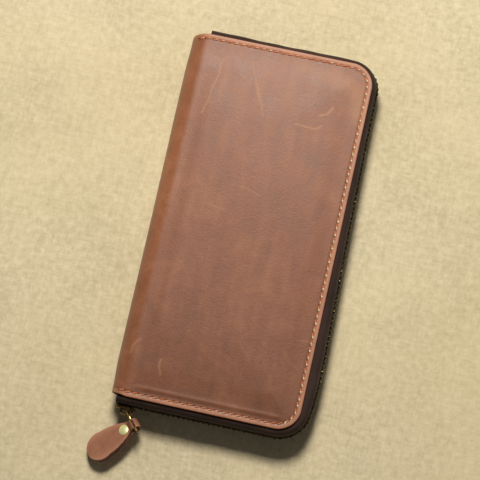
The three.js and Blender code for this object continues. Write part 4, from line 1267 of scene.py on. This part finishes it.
# ---- Floor, lights and camera ----
def floor():
    """A large cream cloth with faint stains, which is not part of the object."""
    g = Graph("floor_finish", on_cad_node=True)
    patches = g.noise(0.02, 4, 0.6)
    blots = g.noise(0.30, 3, 0.65)
    warp = g.noise(1.0, 2, place=g.stretch((0.9, 0.12, 1.0)))
    weft = g.noise(1.0, 2, place=g.stretch((0.12, 0.9, 1.0)))
    cloth_grain = g.sum((warp, 0.5), (weft, 0.5))
    tone = g.sum((patches, 0.30), (blots, 0.40), (cloth_grain, 0.30))
    colour = g.ramp(g.remap(tone, 0.38, 0.62), [(0, srgb(194, 179, 142)), (1, srgb(228, 214, 180))])
    stain = g.remap(g.noise(0.010, 3, 0.5), 0.40, 0.62)
    colour = g.mix(g.math("MULTIPLY", stain, 0.30), colour, srgb(212, 194, 146))
    finish = g.finish(colour, 0.9, cloth_grain, 0.1, 0.4)
    mesh = bpy.data.meshes.new("floor")
    half, z = 3.0, -0.0002
    corners = [(-half, -half, z), (half, -half, z), (half, half, z), (-half, half, z)]
    mesh.from_pydata(corners, [], [(0, 1, 2, 3)])
    mesh.materials.append(finish)
    obj = link_object("floor", mesh)


def area_light(name, place, target, size, power, colour):
    """A rectangular lamp at place, turned to face target. Sizes are in metres and power in watts."""
    data = bpy.data.lights.new(name, "AREA")
    data.shape = "RECTANGLE"
    data.size, data.size_y = size
    data.energy, data.color = power, colour
    obj = link_object(name, data)
    obj.location = place
    obj.rotation_mode = "QUATERNION"
    obj.rotation_quaternion = (Vector(target) - Vector(place)).to_track_quat("-Z", "Y")


floor()
area_light("key", (-0.08, 0.45, 0.95), (0, 0, 0), (0.22, 0.22), 9.4, (1.0, 0.96, 0.90))
area_light("haze", (-0.06, 0.42, 0.72), (0, 0.06, 0), (0.34, 0.20), 1.7, (1.0, 0.96, 0.88))
area_light("fill", (0.7, -0.6, 0.9), (0, 0, 0), (0.9, 0.9), 0.5, (0.98, 0.98, 1.0))

world = bpy.data.worlds.new("studio")
world.use_nodes = True
world.node_tree.nodes["Background"].inputs[0].default_value = (1.0, 0.97, 0.93, 1)
world.node_tree.nodes["Background"].inputs[1].default_value = 0.07
bpy.context.scene.world = world
bpy.context.scene.view_settings.view_transform = "Standard"


def camera():
    """The photograph's view: from above the opening end, a little towards the slider's side."""
    back = Vector((0.0829, -0.1562, 0.9842)).normalized()
    right = Vector((0.975, 0.217, -0.0477))
    right = (right - back * right.dot(back)).normalized()
    up = back.cross(right)
    data = bpy.data.cameras.new("camera")
    data.lens, data.sensor_width = 198.0, 36.0
    data.clip_start, data.clip_end = 0.05, 20
    obj = link_object("camera", data)
    place = Vector((111.7, -217.5, 1356.7)) * MM
    obj.matrix_world = Matrix.Translation(place) @ Matrix((right, up, back)).transposed().to_4x4()
    bpy.context.scene.camera = obj


camera()
